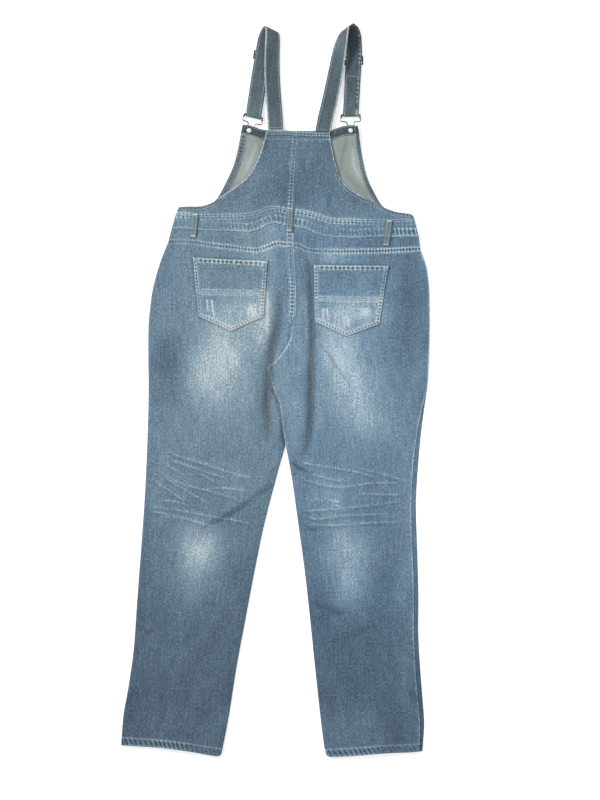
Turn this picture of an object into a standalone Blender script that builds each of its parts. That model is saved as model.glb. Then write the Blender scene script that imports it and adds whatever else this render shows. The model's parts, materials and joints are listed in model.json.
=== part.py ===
"""Denim dungarees laid flat on a surface with the back up.

All sizes are in millimetres and are scaled to metres when a mesh is made. +Z is up, +Y runs from
the hems to the straps, and the origin is the middle of the outline on the surface below.
"""

from collections import namedtuple
from math import cos, pi, radians, sin

import bmesh
import bpy
import numpy as np
from mathutils import Vector
from mathutils.bvhtree import BVHTree
from mathutils.geometry import delaunay_2d_cdt

MM = 0.001

# Cloth
WALL = 1.2  # one thickness of denim
FOLDED = 2.4  # a turned hem or a waistband, two thicknesses
SEAM_GAP = 0.3  # between two pieces that are sewn together
HEM_DEPTH = 17.0  # turned hem of a leg
HEM_RAMP = (-668.0, -635.0)  # where the back leg comes down from the front hem's thickness
WAIST_RAMP = (275.0, 305.0)  # where it rises to the front waistband's thickness
SIDE_HEMS = (12.0, 9.0)  # turned hems along the front bib's left and right side
FACING_DEPTH = 19.0  # facing along the top of the front bib
FACING_CLEAR = 1.5  # from the facing to where the side hems begin
FACING_THICK = 1.0
BIB_HEM_DEPTH = 9.5
BIB_HEM_SLANTS = (2.3, 0.8)  # how far each armhole widens over that depth
POCKET_HEM = 10.0
STRAP_WIDTH = 30.5
STRAP_THICK = 2.4
LOOP_WIDTH = 12.5
LOOP_THICK = 1.6
LOOP_ARCH = 0.9  # how far a belt loop's middle stands off the waistband
LAID_GAP = 0.5  # under a narrow piece that lies across others

# Mesh steps
EDGE_STEP = 24.0  # along the long outlines
FINE_STEP = 14.0  # along the curved outlines of bib, band and yoke
FOLD_STEP = 22.0  # along a fold
FOLD_SIDES = (-1.6, -0.75, 0.0, 0.75, 1.6)  # lines of points beside a fold's middle, in half widths
BACK_GRID = (19.0, 30.0)  # inside a back leg
FRONT_GRID = (60.0, 90.0)  # inside what lies flat
BIB_GRID = (17.0, 18.0)
BAND_GRID = (19.0, 13.0)
FACING_GRID = (11.0, 9.0)
POCKET_STEP = 15.0
WIRE_STEP = 2.6
GRID_CLEAR = 0.36  # share of the grid's step kept free beside an outline or a line of points
LINE_CLEAR = 0.8  # between a line of points and the outline
HOLE_CLEAR = 2.5
EDGE_LEAST = 0.01  # an edge shorter than this in plan is upright
STEP_HALF = 0.4  # half the run of the step at a hem's inner edge
BAND_SPANS = 9  # points along a straight band

# Hardware
WIRE = 2.2
POST_RADIUS = 2.3
CAP_RADIUS = 8.5
CAP_THICK = 2.3
TACK_RADIUS = 4.4
TACK_THICK = 1.0
POST_CLEARANCE = 0.35
SLIDER_SIZE = (37.0, 17.0, 1.6)
SLIDER_BAR = 2.6

Edge = namedtuple("Edge", "x y")
Fold = namedtuple("Fold", "half_width points")  # points are x, y and height above the cloth around

# Outlines, each a short run of points that a smooth curve passes through


def edge(*points):
    return [Edge(*point) for point in points]


LEFT_OUTSEAM = edge(
    (-209, 290), (-223.5, 254), (-237, 208), (-244, 168), (-248, 118), (-248, 44), (-247.5, -3),
    (-250.3, -108), (-255.4, -214), (-262, -307), (-269, -400), (-275.5, -494), (-281.2, -541),
    (-288.5, -588), (-296.6, -634), (-300.8, -691),
)  # fmt: skip
RIGHT_OUTLINE = edge(
    (282.6, 276), (293, 246), (299.2, 204), (300.8, 137), (298.5, 44), (294.5, -3), (284.5, -77),
    (276.5, -166), (274, -233), (276.3, -307), (278.8, -400), (278.5, -471), (282.2, -541), (287, -603),
    (290, -652), (286.5, -703),
)  # fmt: skip
RIGHT_OUTSEAM = edge(
    (282.6, 276), (293, 246), (299.2, 204), (300.8, 137), (298.5, 44), (293.5, -3), (281.5, -57),
    (273, -108), (267.5, -166), (265, -233), (267, -307), (270, -400), (270, -471), (273, -541),
    (278, -603), (282, -652), (280.5, -703.5),
)  # fmt: skip
LEFT_INSEAM = edge(
    (19, -108), (3, -166), (-21.5, -260), (-41, -354), (-58.5, -447), (-76, -541), (-90.5, -634),
    (-99.6, -681), (-104.7, -706), (-107.7, -711), (-113, -712.6),
)  # fmt: skip
RIGHT_INSEAM = edge(
    (20, -108), (31, -166), (44.3, -260), (57.2, -354), (67.5, -447), (77.2, -541), (87.3, -634),
    (95, -694), (98.5, -708.5), (102, -712.6), (108, -714.2),
)  # fmt: skip
SEAT_SEAM = edge(
    (32.3, 283.3), (33.3, 270), (36, 235), (38, 186), (37, 153), (33, 127), (29, 102), (22.5, 87),
    (9, 67), (-5.5, 51.5), (-16, 44),
)  # fmt: skip
CROTCH_JOIN = edge((-16, 44), (-13.5, 34), (-9.5, 24.5))
RIGHT_LAP = edge((-9.5, 24.5), (-1.5, -2.5), (7.5, -22.5), (11.5, -48), (15.5, -81), (20, -108))
LEFT_UNDERLAP = edge((-9.5, 24.5), (5, 5), (18.5, -18.5), (25.5, -48), (25.5, -77), (19, -108))
FRONT_RISE = edge((32.5, 307.7), (28, 220), (12, 120), (-16, 44))
LEFT_HEM = edge((-300.8, -691), (-254, -694), (-211, -697.5), (-159, -704.8), (-130, -710.2), (-113, -712.6))
RIGHT_HEM = edge((108, -714.2), (149, -712), (213, -707), (262, -705), (280.5, -703.5))
RIGHT_FRONT_HEM = edge((108, -714.2), (149, -712), (213, -707), (262, -705), (286.5, -703))
LEFT_YOKE_SEAM = edge(
    (-209, 290), (-165, 289), (-133, 284.5), (-95, 280), (-58, 275.5), (-34, 274), (-14.5, 280),
    (3, 286), (32.3, 283.3),
)  # fmt: skip
RIGHT_YOKE_SEAM = edge(
    (32.3, 283.3), (48, 281.5), (60, 274.5), (77, 271.5), (127, 271), (188, 271.5), (227, 273), (282.6, 276),
)  # fmt: skip
LEFT_BAND_FOOT = edge(
    (-202.5, 315.5), (-170, 315), (-151, 312.5), (-114, 311), (-77, 310), (-49.5, 309), (-34, 312.5),
    (-17, 321), (-2, 325), (12.5, 323), (32.4, 319.5),
)  # fmt: skip
RIGHT_BAND_FOOT = edge(
    (32.4, 319.5), (56, 315.5), (74, 307.5), (98, 300.5), (148, 297.5), (207, 298.5), (279.3, 299.5),
)  # fmt: skip
LEFT_BAND_HEAD = edge(
    (-194, 345), (-166, 343.5), (-148, 340.5), (-114, 341), (-77, 341.5), (-49, 343), (-30, 349),
    (-13.5, 355.5), (5, 356), (32.5, 350.3),
)  # fmt: skip
RIGHT_BAND_HEAD = edge(
    (32.5, 350.3), (58, 348), (88, 339.5), (108, 333.5), (148, 331.5), (188, 330.5), (213, 330), (271.2, 331.5),
)  # fmt: skip
LEFT_ARMHOLE = edge(
    (-184, 358.2), (-166, 358.7), (-148, 358.8), (-133, 362.4), (-119, 368.8), (-106, 378), (-89, 389.5),
    (-73, 400.5), (-57, 414), (-44, 432), (-31.6, 457), (-24, 482), (-17.5, 505.5),
)  # fmt: skip
RIGHT_ARMHOLE = edge(
    (260, 344.6), (248, 346.3), (236, 348), (224, 351.6), (210, 357.3), (197, 362.8), (184, 369.5),
    (170, 377.3), (157, 384.8), (145, 392.4), (134, 402.8), (126.3, 412.5), (120.5, 431), (113.5, 456),
    (107.6, 486), (105.7, 503),
)  # fmt: skip
FRONT_BAND_FOOT = (LEFT_BAND_FOOT[0], RIGHT_BAND_FOOT[-1])
FRONT_BAND_HEAD = (LEFT_BAND_HEAD[0], RIGHT_BAND_HEAD[-1])
LEFT_CORNER = edge((-194, 345), (-191.4, 352.4), (-188.3, 356.8), (-184, 358.2))
RIGHT_CORNER = edge((271.2, 331.5), (270, 336.8), (268, 340.8), (264.6, 343.5), (260, 344.6))
BIB_CENTRE = edge((32.5, 350.3), (36.9, 411), (40.2, 459), (43.3, 505))
LEFT_BIB_TOP = edge((-17.5, 505.5), (16, 506.5), (43.3, 505))
RIGHT_BIB_TOP = edge((43.3, 505), (77, 503.5), (105.7, 503))
FRONT_ARM_LEFT = edge(
    (-190, 349), (-166, 353), (-136, 359.5), (-118, 370), (-108, 384), (-98.7, 402), (-90.3, 419), (-81, 441.5),
    (-73, 473), (-64, 517.5),
)  # fmt: skip
FRONT_ARM_RIGHT = edge(
    (268.6, 337), (246, 343), (225, 349.5), (211.5, 357.5), (203.2, 367), (193.6, 384), (185, 400.8),
    (176, 425.5), (167.5, 467), (161, 515),
)  # fmt: skip
FRONT_BIB_TOP = edge(
    (-64, 517.5), (-53.5, 517), (-41, 513.5), (-30, 509.5), (-16.5, 507.5), (48, 506), (108, 507),
    (127, 513.5), (146, 516.5), (161, 515),
)  # fmt: skip

# Back pockets: corners from the top left round to the bottom left
LEFT_POCKET = edge((-161.5, 259), (-15.5, 252), (-22.5, 143.5), (-86, 115.5), (-150.5, 144.5))
RIGHT_POCKET = edge((74.5, 244.5), (220.5, 243), (202.5, 129), (138, 105.5), (76.5, 134.5))

# Belt loops: the middle of the top end and of the bottom end
BeltLoop = namedtuple("BeltLoop", "name head foot")
BELT_LOOPS = [
    BeltLoop("belt_loop_left", Edge(-156, 344.5), Edge(-160.5, 298)),
    BeltLoop("belt_loop_centre", Edge(29.5, 356), Edge(26.5, 309)),
    BeltLoop("belt_loop_right", Edge(222, 332), Edge(215, 282)),
]

BUTTONS = {"left": Edge(-51, 506), "right": Edge(146.5, 506)}

# Straps: left and right edge of the strip at each station, from the back bib up to the shoulder
# fold, down to the buckle's bar and back up under itself
Station = namedtuple("Station", "left_x left_y left_z right_x right_y right_z")
LEFT_STRAP = [
    Station(-15.4, 507.5, 6.9, 15.8, 508.0, 6.6),
    Station(-17.0, 536.0, 6.6, 14.2, 538.0, 4.9),
    Station(-20.2, 580.0, 6.9, 10.7, 582.0, 3.2),
    Station(-22.0, 623.0, 8.8, 8.6, 624.0, 2.6),
    Station(-20.9, 664.0, 11.8, 8.3, 663.0, 2.9),
    Station(-19.2, 688.0, 13.5, 8.3, 681.0, 4.2),
    Station(-19.0, 703.0, 12.4, 6.9, 692.5, 5.2),
    Station(-20.6, 709.5, 8.3, 4.6, 697.5, 4.1),
    Station(-24.4, 707.0, 4.8, 2.4, 694.5, 2.2),
    Station(-30.2, 697.0, 2.3, -2.4, 686.0, 1.4),
    Station(-34.2, 685.0, 1.4, -5.0, 678.0, 1.3),
    Station(-37.6, 667.0, 3.3, -7.8, 662.0, 3.3),
    Station(-39.8, 655.0, 3.5, -9.6, 651.0, 3.5),
    Station(-42.4, 640.0, 3.9, -12.2, 636.0, 3.9),
    Station(-48.2, 605.0, 3.9, -17.9, 602.0, 3.9),
    Station(-53.8, 567.0, 3.9, -23.5, 563.5, 3.9),
    Station(-56.4, 548.0, 5.3, -26.3, 543.6, 5.3),
]  # fmt: skip
RIGHT_STRAP = [
    Station(77.4, 504.5, 6.3, 108.3, 503.5, 6.3),
    Station(82.3, 531.5, 4.9, 112.8, 527.0, 6.4),
    Station(90.9, 568.0, 3.4, 121.2, 562.5, 6.9),
    Station(102.5, 620.0, 2.6, 131.2, 613.5, 10.4),
    Station(113.0, 664.0, 2.9, 137.2, 660.0, 18.0),
    Station(122.6, 687.0, 4.8, 139.2, 689.0, 22.4),
    Station(127.0, 695.5, 5.6, 143.0, 706.5, 21.6),
    Station(130.0, 699.5, 4.4, 151.5, 712.4, 16.2),
    Station(133.8, 696.5, 2.4, 161.0, 707.4, 9.8),
    Station(136.6, 686.0, 1.4, 167.2, 692.5, 3.9),
    Station(137.8, 674.5, 1.4, 168.3, 678.0, 1.7),
    Station(138.2, 654.5, 3.3, 168.9, 656.0, 3.3),
    Station(137.2, 643.0, 3.5, 167.7, 643.5, 3.5),
    Station(135.9, 628.0, 3.9, 166.4, 627.5, 3.9),
    Station(134.4, 595.0, 3.9, 164.9, 593.0, 3.9),
    Station(132.8, 559.0, 3.9, 163.3, 557.0, 3.9),
    Station(131.8, 546.0, 5.2, 162.3, 544.8, 5.2),
]  # fmt: skip
SLIDER_STATION = 12  # where the slider lies under the strip
STRAP_STEP = 16.0
BAR_TURN = 6  # stations round the buckle's bar
BAR_HEIGHT = 4.1
TAB_STATIONS = (0.2, 0.6, 1.0)  # along the tab that comes back from the bar to the slider

# Buckle wire, right half, from the middle of the bar: x across, y up from the button's centre
BUCKLE_WIRE = edge(
    (0, 31), (15.8, 31), (17.7, 29.5), (18.4, 25), (19.3, 20.6), (18.2, 18.4), (15.5, 17.8), (9.8, 17.6),
    (7.2, 16), (6.6, 12.5), (6.4, 8), (5.4, 3), (4.3, -1.5), (2.6, -4), (0, -4.9),
)  # fmt: skip
BUCKLE_TURN = {"left": -14.0, "right": 0.5}  # degrees, about the button
BUCKLE_HOOKED = {"left": Edge(-1.2, 1.2), "right": Edge(0, 0)}  # where the button stands in that plan
LIFTED = 5.3  # how high the wire and the cap lift the bib's corners
LIFT_FLAT = 12.0
LIFT_SPREAD = 24.0

# How far the back layer stands off the front layer: y, and height well inside the seams
Loft = namedtuple("Loft", "y height")
LOFT = [
    Loft(-715, 1.6), Loft(-600, 2.2), Loft(-400, 2.6), Loft(-175, 3.4), Loft(-80, 4.4), Loft(180, 4.6),
    Loft(275, 2.4), Loft(325, 1.3), Loft(380, 0.7), Loft(520, 0.5),
]  # fmt: skip
SEAM_ROUND = 17.0  # how soon the cloth rises beside a seam

# The right leg's flap beside the crotch lies over the left leg, up to these places
LAP_CLEAR = 0.15  # over the sewing gap
LAP_SIDE = (38.0, 68.0)  # x, fully over and not over
LAP_FOOT = (-163.0, -113.0)  # y, not over and fully over

# Largest folds of the back layer: ridges are positive, troughs negative
FOLDS = {
    "left_thigh_trough": Fold(9.5, [(3, 202, 0), (5, 166, -2.6), (3, 96, -4.4), (-10, 53, -4.4),
                                    (-12.5, -3, -4.2), (-15.5, -61, -3.4), (-14.5, -108, -1)]),
    "right_thigh_trough": Fold(8.5, [(36, 354, -0.4), (53, 276, -1.4), (63, 243, -2.2), (69, 194, -3.2),
                                     (71, 118, -4.2), (71, 40, -4.4), (69, -18, -4.2), (65, -81, -3.6),
                                     (53, -120, -2.8), (40, -143, -0.6)]),
    "seat_ridge": Fold(24, [(31, 215, 0), (33, 110, 2.4), (30, 40, 3.8), (34, -18, 3.6), (38, -77, 3),
                            (34, -125, 0.8)]),
    "left_thigh_ridge": Fold(17, [(-22, 190, 0), (-24, 120, 1.8), (-38, 40, 2.2), (-42, -50, 1.6),
                                  (-40, -120, 0)]),
    "right_thigh_ridge": Fold(17, [(90, 200, 0), (98, 118, 1.8), (98, 20, 2.2), (92, -70, 1.6),
                                   (80, -140, 0)]),
    "centre_back_ridge": Fold(12, [(3, 372, 0.6), (3, 330, 1.8), (0, 285, 2), (4, 235, 1.6), (8, 200, 0)]),
    "left_yoke_trough": Fold(11, [(-33, 350, -0.3), (-36, 305, -1), (-33, 265, -1.1), (-30, 235, 0)]),
    "left_knee_fold": Fold(9, [(-30, -200, 0.4), (-60, -221, 1.4), (-95, -236, 1.6), (-130, -262, 1.4),
                               (-168, -284, 0.2)]),
    "right_knee_fold": Fold(9, [(32, -150, 0.6), (58, -160, 1.4), (88, -158, 0.2)]),
    "left_shin_ridge": Fold(20, [(-200, -470, 0), (-180, -560, 1.2), (-205, -640, 1.3), (-190, -712, 1.2)]),
    "right_shin_ridge": Fold(20, [(190, -430, 0), (165, -540, 1.2), (190, -620, 1.2), (170, -713, 1.4)]),
    "right_hem_trough": Fold(16, [(235, -600, 0), (238, -660, -0.8), (242, -704, -1)]),
    "left_hem_trough": Fold(16, [(-250, -560, 0), (-254, -640, -0.8), (-252, -695, -1)]),
}  # fmt: skip

# Colour, roughness and metallic value
DENIM = ((0.16, 0.23, 0.30), 0.9, 0.0)
DARK_DENIM = ((0.09, 0.13, 0.18), 0.9, 0.0)
DENIM_INSIDE = ((0.38, 0.42, 0.40), 0.92, 0.0)
WIRE_METAL = ((0.36, 0.31, 0.27), 0.38, 1.0)
TACK_METAL = ((0.86, 0.87, 0.87), 0.3, 1.0)


# Curves and outlines


def smooth_run(points, step):
    """Points about a step apart along a smooth curve through the given ones, ends included."""
    p = np.array([tuple(point) for point in points], float)
    ends = np.vstack([2 * p[0] - p[1], p, 2 * p[-1] - p[-2]])
    run = [p[0]]
    for a, b, c, d in zip(ends, ends[1:], ends[2:], ends[3:]):
        parts = max(1, round(float(np.linalg.norm((c - b)[:2])) / step))
        for t in np.linspace(0, 1, parts + 1)[1:]:
            bend = (2 * a - 5 * b + 4 * c - d) * t * t + (3 * b - a - 3 * c + d) * t**3
            run.append(0.5 * (2 * b + (c - a) * t + bend))
    return np.array(run)


def joined(*runs):
    """One closed loop from runs that follow each other, without the doubled corners."""
    return np.vstack([run[:-1] for run in runs])


def inset(loop, by):
    """The loop moved inwards by a small distance, anticlockwise or not."""
    before, after = np.roll(loop, 1, axis=0), np.roll(loop, -1, axis=0)
    turn = np.sign(area_of(loop))

    def inward(d):
        d = d / np.linalg.norm(d, axis=1, keepdims=True)
        return turn * np.stack([-d[:, 1], d[:, 0]], axis=1)

    n1, n2 = inward(loop - before), inward(after - loop)
    middle = n1 + n2
    middle /= np.maximum((middle * n1).sum(axis=1, keepdims=True), 0.4)
    return loop + by * middle


def area_of(loop):
    x, y = loop[:, 0], loop[:, 1]
    return 0.5 * float((x * np.roll(y, -1) - np.roll(x, -1) * y).sum())


def inside(points, loop):
    a, b = loop, np.roll(loop, -1, axis=0)
    x, y = points[:, :1], points[:, 1:2]
    crosses = (a[:, 1] > y) != (b[:, 1] > y)
    rise = np.where(b[:, 1] == a[:, 1], 1e-9, b[:, 1] - a[:, 1])
    return (crosses & (x < (b[:, 0] - a[:, 0]) * (y - a[:, 1]) / rise + a[:, 0])).sum(axis=1) % 2 == 1


def distance(points, run, closed=False):
    """Distance in plan from each point to a run of points, and the place along it from 0 to its last."""
    a = run if closed else run[:-1]
    b = np.roll(run, -1, axis=0) if closed else run[1:]
    best = np.full(len(points), 1e9)
    place = np.zeros(len(points))
    for i, (p, q) in enumerate(zip(a[:, :2], b[:, :2])):
        d = q - p
        t = np.clip(((points - p) @ d) / max(float(d @ d), 1e-9), 0, 1)
        gap = np.linalg.norm(points - p - t[:, None] * d, axis=1)
        place = np.where(gap < best, i + t, place)
        best = np.minimum(best, gap)
    return best, place


def ease(t):
    t = np.clip(t, 0, 1)
    return t * t * (3 - 2 * t)


# The cloth's height


SEAT_RUN = smooth_run(SEAT_SEAM, FINE_STEP)
JOIN_RUN = smooth_run(CROTCH_JOIN, FINE_STEP)
LEFT_PRESSED = [
    smooth_run(LEFT_OUTSEAM, FINE_STEP),
    smooth_run(LEFT_INSEAM, FINE_STEP),
    smooth_run(LEFT_UNDERLAP, FINE_STEP),
    JOIN_RUN,
]
RIGHT_PRESSED = [
    smooth_run(RIGHT_OUTSEAM, FINE_STEP),
    smooth_run(RIGHT_INSEAM, FINE_STEP),
    smooth_run(RIGHT_LAP, FINE_STEP),
    JOIN_RUN,
]
BODICE_PRESSED = [
    np.array([LEFT_OUTSEAM[0], LEFT_BAND_FOOT[0], *LEFT_CORNER], float),
    np.array([RIGHT_OUTLINE[0], RIGHT_BAND_FOOT[-1], *RIGHT_CORNER], float),
]


FOLD_RUNS = [(fold.half_width, smooth_run(fold.points, FOLD_STEP)) for fold in FOLDS.values()]


def bib_lift(p):
    """How far the front bib's corners are lifted by the buttons and the buckles."""
    lift = np.zeros(len(p))
    for button in BUTTONS.values():
        away = np.maximum(np.linalg.norm(p - np.array(button), axis=1) - LIFT_FLAT, 0)
        lift = np.maximum(lift, LIFTED * np.exp(-((away / LIFT_SPREAD) ** 2)))
    return lift


def folds_at(p):
    total = np.zeros(len(p))
    for half_width, run in FOLD_RUNS:
        gap, place = distance(p, run)
        height = np.interp(place, np.arange(len(run)), run[:, 2])
        total += height * np.exp(-((gap / half_width) ** 2))
    return total


def stand_off(p, pressed):
    """Height of the back layer's underside over the front layer, from the seams inwards."""
    loft = np.interp(p[:, 1], [row.y for row in LOFT], [row.height for row in LOFT])
    near = np.min([distance(p, run)[0] for run in pressed], axis=0)
    rise = 1 - np.exp(-near / SEAM_ROUND)
    return np.maximum((loft + folds_at(p)) * rise, 0)


def support(p):
    """Top of the front layer with the sewing gap: thicker at the hem, the waist and the bib."""
    y = p[:, 1]
    doubled = FOLDED - WALL
    hem = doubled * (1 - ease((y - HEM_RAMP[0]) / (HEM_RAMP[1] - HEM_RAMP[0])))
    upper = (doubled + SEAM_GAP) * ease((y - WAIST_RAMP[0]) / (WAIST_RAMP[1] - WAIST_RAMP[0]))
    return WALL + SEAM_GAP + hem + upper + bib_lift(p)


def left_under(p):
    return support(p) + stand_off(p, LEFT_PRESSED + BODICE_PRESSED)


def right_under(p):
    """The right leg's underside, which lies over the left leg beside the crotch."""
    x, y = p[:, 0], p[:, 1]
    own = support(p) + stand_off(p, RIGHT_PRESSED + BODICE_PRESSED)
    top, crotch = CROTCH_JOIN[0].y, CROTCH_JOIN[-1].y
    over = ease((top - y) / (top - crotch)) * ease((y - LAP_FOOT[0]) / (LAP_FOOT[1] - LAP_FOOT[0]))
    over *= 1 - ease((x - LAP_SIDE[0]) / (LAP_SIDE[1] - LAP_SIDE[0]))
    lap = left_under(p) + (WALL + SEAM_GAP + LAP_CLEAR) * over
    return np.where(over > 0, np.maximum(own, lap), own)


def under_of(side):
    return left_under if side == "left" else right_under


# Meshes


def material(name, finish):
    colour, roughness, metallic = finish
    made = bpy.data.materials.get(name)
    if made is None:
        made = bpy.data.materials.new(name)
        made.use_nodes = True
        shader = made.node_tree.nodes["Principled BSDF"]
        shader.inputs["Base Color"].default_value = (*colour, 1)
        shader.inputs["Roughness"].default_value = roughness
        shader.inputs["Metallic"].default_value = metallic
    return made


def add_object(name, points, faces, finish, smooth=True):
    """A mesh object from points in millimetres."""
    mesh = bpy.data.meshes.new(name)
    mesh.from_pydata([Vector(point) * MM for point in points], [], [tuple(face) for face in faces])
    mesh.materials.append(material(*finish))
    mesh.update()
    if smooth:
        mesh.shade_smooth()
    made = bpy.data.objects.new(name, mesh)
    bpy.context.scene.collection.objects.link(made)
    return made


def grid_inside(loop, spacing, holes, lines):
    """Points on a grid within the loop, clear of its edge, of its holes and of the lines."""
    low, high = loop.min(axis=0), loop.max(axis=0)
    xs = np.arange(low[0] + spacing[0] / 2, high[0], spacing[0])
    ys = np.arange(low[1] + spacing[1] / 2, high[1], spacing[1])
    points = np.array([(x, y) for y in ys for x in xs]).reshape(-1, 2)
    free = GRID_CLEAR * spacing[0]
    keep = inside(points, loop) & (distance(points, loop, closed=True)[0] > free)
    for hole in holes:
        keep &= (distance(points, hole, closed=True)[0] > HOLE_CLEAR) & ~inside(points, hole)
    for line in lines:
        keep &= distance(points, line)[0] > free
    return points[keep]


def plan_of(carrier, loop):
    """A made piece's points in plan, and its edges beside the loop."""
    low, high = loop.min(axis=0), loop.max(axis=0)
    spots = np.array([vert.co[:2] for vert in carrier.data.vertices]) / MM
    found = []
    for item in carrier.data.edges:
        ends = spots[list(item.vertices)]
        beyond = (ends.max(axis=0) < low).any() or (ends.min(axis=0) > high).any()
        if not beyond and np.linalg.norm(ends[0] - ends[1]) > EDGE_LEAST:
            found.append(tuple(item.vertices))
    return spots, found


def triangulated(flat, edges, loop, holes):
    """Points in plan and the triangles between them that lie in the loop and outside the holes."""
    coords, _, faces, *_ = delaunay_2d_cdt([Vector(p) for p in flat], edges, [], 0, 1e-5)
    flat = np.array([(c.x, c.y) for c in coords])
    middles = np.array([flat[list(face)].mean(axis=0) for face in faces])
    keep = inside(middles, loop)
    for hole in holes:
        keep &= ~inside(middles, hole)
    faces = np.array([tuple(face) for face, kept in zip(faces, keep) if kept])
    used, compact = np.unique(faces, return_inverse=True)
    return flat[used], compact.reshape(faces.shape)


def cloth(name, loop, under, over, finish, spacing=BACK_GRID, holes=(), lines=(), carrier=None):
    """A closed wall of cloth: its outline in plan, and its underside and outer side as heights.

    Its edges run along the lines. With a carrier, the wall takes the carrier's own points and
    edges in place of a grid.
    """
    if area_of(loop) < 0:
        loop = loop[::-1]
    loop = inset(loop, SEAM_GAP / 2)
    rims = [loop] + [hole if area_of(hole) < 0 else hole[::-1] for hole in holes]
    edges = []
    start = 0
    for rim in rims:
        count = len(rim)
        edges += [(start + i, start + (i + 1) % count) for i in range(count)]
        start += count
    parts = list(rims)
    for line in lines:
        within = inside(line, loop) & (distance(line, loop, closed=True)[0] > LINE_CLEAR)
        edges += [(start + i, start + i + 1) for i in np.flatnonzero(within[:-1] & within[1:])]
        parts.append(line)
        start += len(line)
    if carrier:
        spots, found = plan_of(carrier, loop)
        parts.append(spots)
        edges += [(start + a, start + b) for a, b in found]
    else:
        parts.append(grid_inside(loop, spacing, holes, lines))
    flat, faces = triangulated(np.vstack(parts), edges, loop, holes)
    count = len(flat)
    bottom = np.column_stack([flat, under(flat)])
    top = np.column_stack([flat, over(flat)])
    walls = [tuple(face + count) for face in faces] + [tuple(face[::-1]) for face in faces]
    directed = {(face[i], face[(i + 1) % 3]) for face in faces for i in range(3)}
    for a, b in directed:
        if (b, a) not in directed:
            walls.append((a, b, b + count, a + count))
    return add_object(name, np.vstack([bottom, top]), walls, finish)


def top_of(*carriers):
    """The outer side of made pieces as a height, from straight above."""
    trees = []
    for carrier in carriers:
        mesh = carrier.data
        spots = [tuple(vert.co / MM) for vert in mesh.vertices]
        trees.append(BVHTree.FromPolygons(spots, [tuple(face.vertices) for face in mesh.polygons]))

    def height(p):
        found = []
        for x, y in p:
            hits = [tree.ray_cast(Vector((x, y, 200)), Vector((0, 0, -1)))[0] for tree in trees]
            found.append(max([hit.z for hit in hits if hit], default=0.0))
        return np.array(found)

    return height


def raised(base, amount, rims, depth):
    """The base height, raised beside the given runs as a turned hem is."""

    def height(p):
        near = np.min([distance(p, run)[0] for run in rims], axis=0)
        return base(p) + np.where(near < depth, amount, 0)

    return height


def level(height):
    return lambda p: np.full(len(p), float(height))


def plus(base, amount):
    return lambda p: base(p) + amount


def hem_lines(run, depth):
    """Two lines of points just either side of a hem's inner edge."""
    along = np.gradient(run[:, :2], axis=0)
    along /= np.linalg.norm(along, axis=1, keepdims=True)
    across = np.stack([-along[:, 1], along[:, 0]], axis=1)
    offsets = (depth - STEP_HALF, depth + STEP_HALF)
    return [run[:, :2] + across * side * offset for side in (1, -1) for offset in offsets]


def fold_lines():
    """Lines of points along each fold's middle and down both its sides."""
    lines = []
    for half_width, run in FOLD_RUNS:
        along = np.gradient(run[:, :2], axis=0)
        along /= np.linalg.norm(along, axis=1, keepdims=True)
        across = np.stack([-along[:, 1], along[:, 0]], axis=1) * half_width
        lines += [run[:, :2] + across * share for share in FOLD_SIDES]
    return lines


# Front layer


def front_leg(side):
    """A front leg, flat on the surface, from the waistband's lower seam to the turned hem."""
    left = side == "left"
    outer = smooth_run(LEFT_OUTSEAM if left else RIGHT_OUTLINE, EDGE_STEP)
    inseam = smooth_run(LEFT_INSEAM if left else RIGHT_INSEAM, EDGE_STEP)
    hem = smooth_run(LEFT_HEM if left else RIGHT_FRONT_HEM, EDGE_STEP)
    rise = smooth_run(FRONT_RISE, EDGE_STEP)
    lap = smooth_run(RIGHT_LAP, FINE_STEP)
    waist = np.array([rise[0], FRONT_BAND_FOOT[0] if left else FRONT_BAND_FOOT[1], outer[0]])
    if left:
        lap[-1] = inseam[0]
    loop = joined(rise, JOIN_RUN, lap, inseam, hem[::-1] if left else hem, outer[::-1], waist[::-1])
    top = raised(level(WALL), FOLDED - WALL, [hem], HEM_DEPTH)
    cloth(f"front_leg_{side}", loop, level(0), top, ("denim_inside", DENIM_INSIDE), FRONT_GRID,
          lines=hem_lines(hem, HEM_DEPTH))  # fmt: skip


def front_waistband():
    foot = np.linspace(*FRONT_BAND_FOOT, BAND_SPANS)
    head = np.linspace(*FRONT_BAND_HEAD, BAND_SPANS)
    loop = np.vstack([foot, head[::-1]])
    cloth("front_waistband", loop, level(0), level(FOLDED), ("denim", DENIM), FRONT_GRID)


def button_hole(side):
    turn = np.linspace(0, 2 * pi, 13)[:-1]
    reach = POST_RADIUS + POST_CLEARANCE
    return np.array(BUTTONS[side]) + reach * np.stack([np.cos(turn), np.sin(turn)], axis=1)


def front_bib():
    left = smooth_run(FRONT_ARM_LEFT, FINE_STEP)
    right = smooth_run(FRONT_ARM_RIGHT, FINE_STEP)
    top = smooth_run(FRONT_BIB_TOP, FINE_STEP)
    foot = np.linspace(*FRONT_BAND_HEAD, BAND_SPANS)
    loop = joined(np.vstack([foot, right[:1]]), right, top[::-1], left[::-1], np.vstack([left[:1], foot[:1]]))
    holes = [button_hole(side) for side in BUTTONS]

    def outer(p):
        hem = (distance(p, left)[0] < SIDE_HEMS[0]) | (distance(p, right)[0] < SIDE_HEMS[1])
        below = distance(p, top)[0] > FACING_DEPTH + FACING_CLEAR
        return bib_lift(p) + WALL + np.where(hem & below, FOLDED - WALL, 0)

    lines = hem_lines(left, SIDE_HEMS[0]) + hem_lines(right, SIDE_HEMS[1])
    cloth("front_bib", loop, bib_lift, outer, ("denim_inside", DENIM_INSIDE), BIB_GRID, holes, lines)


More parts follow.
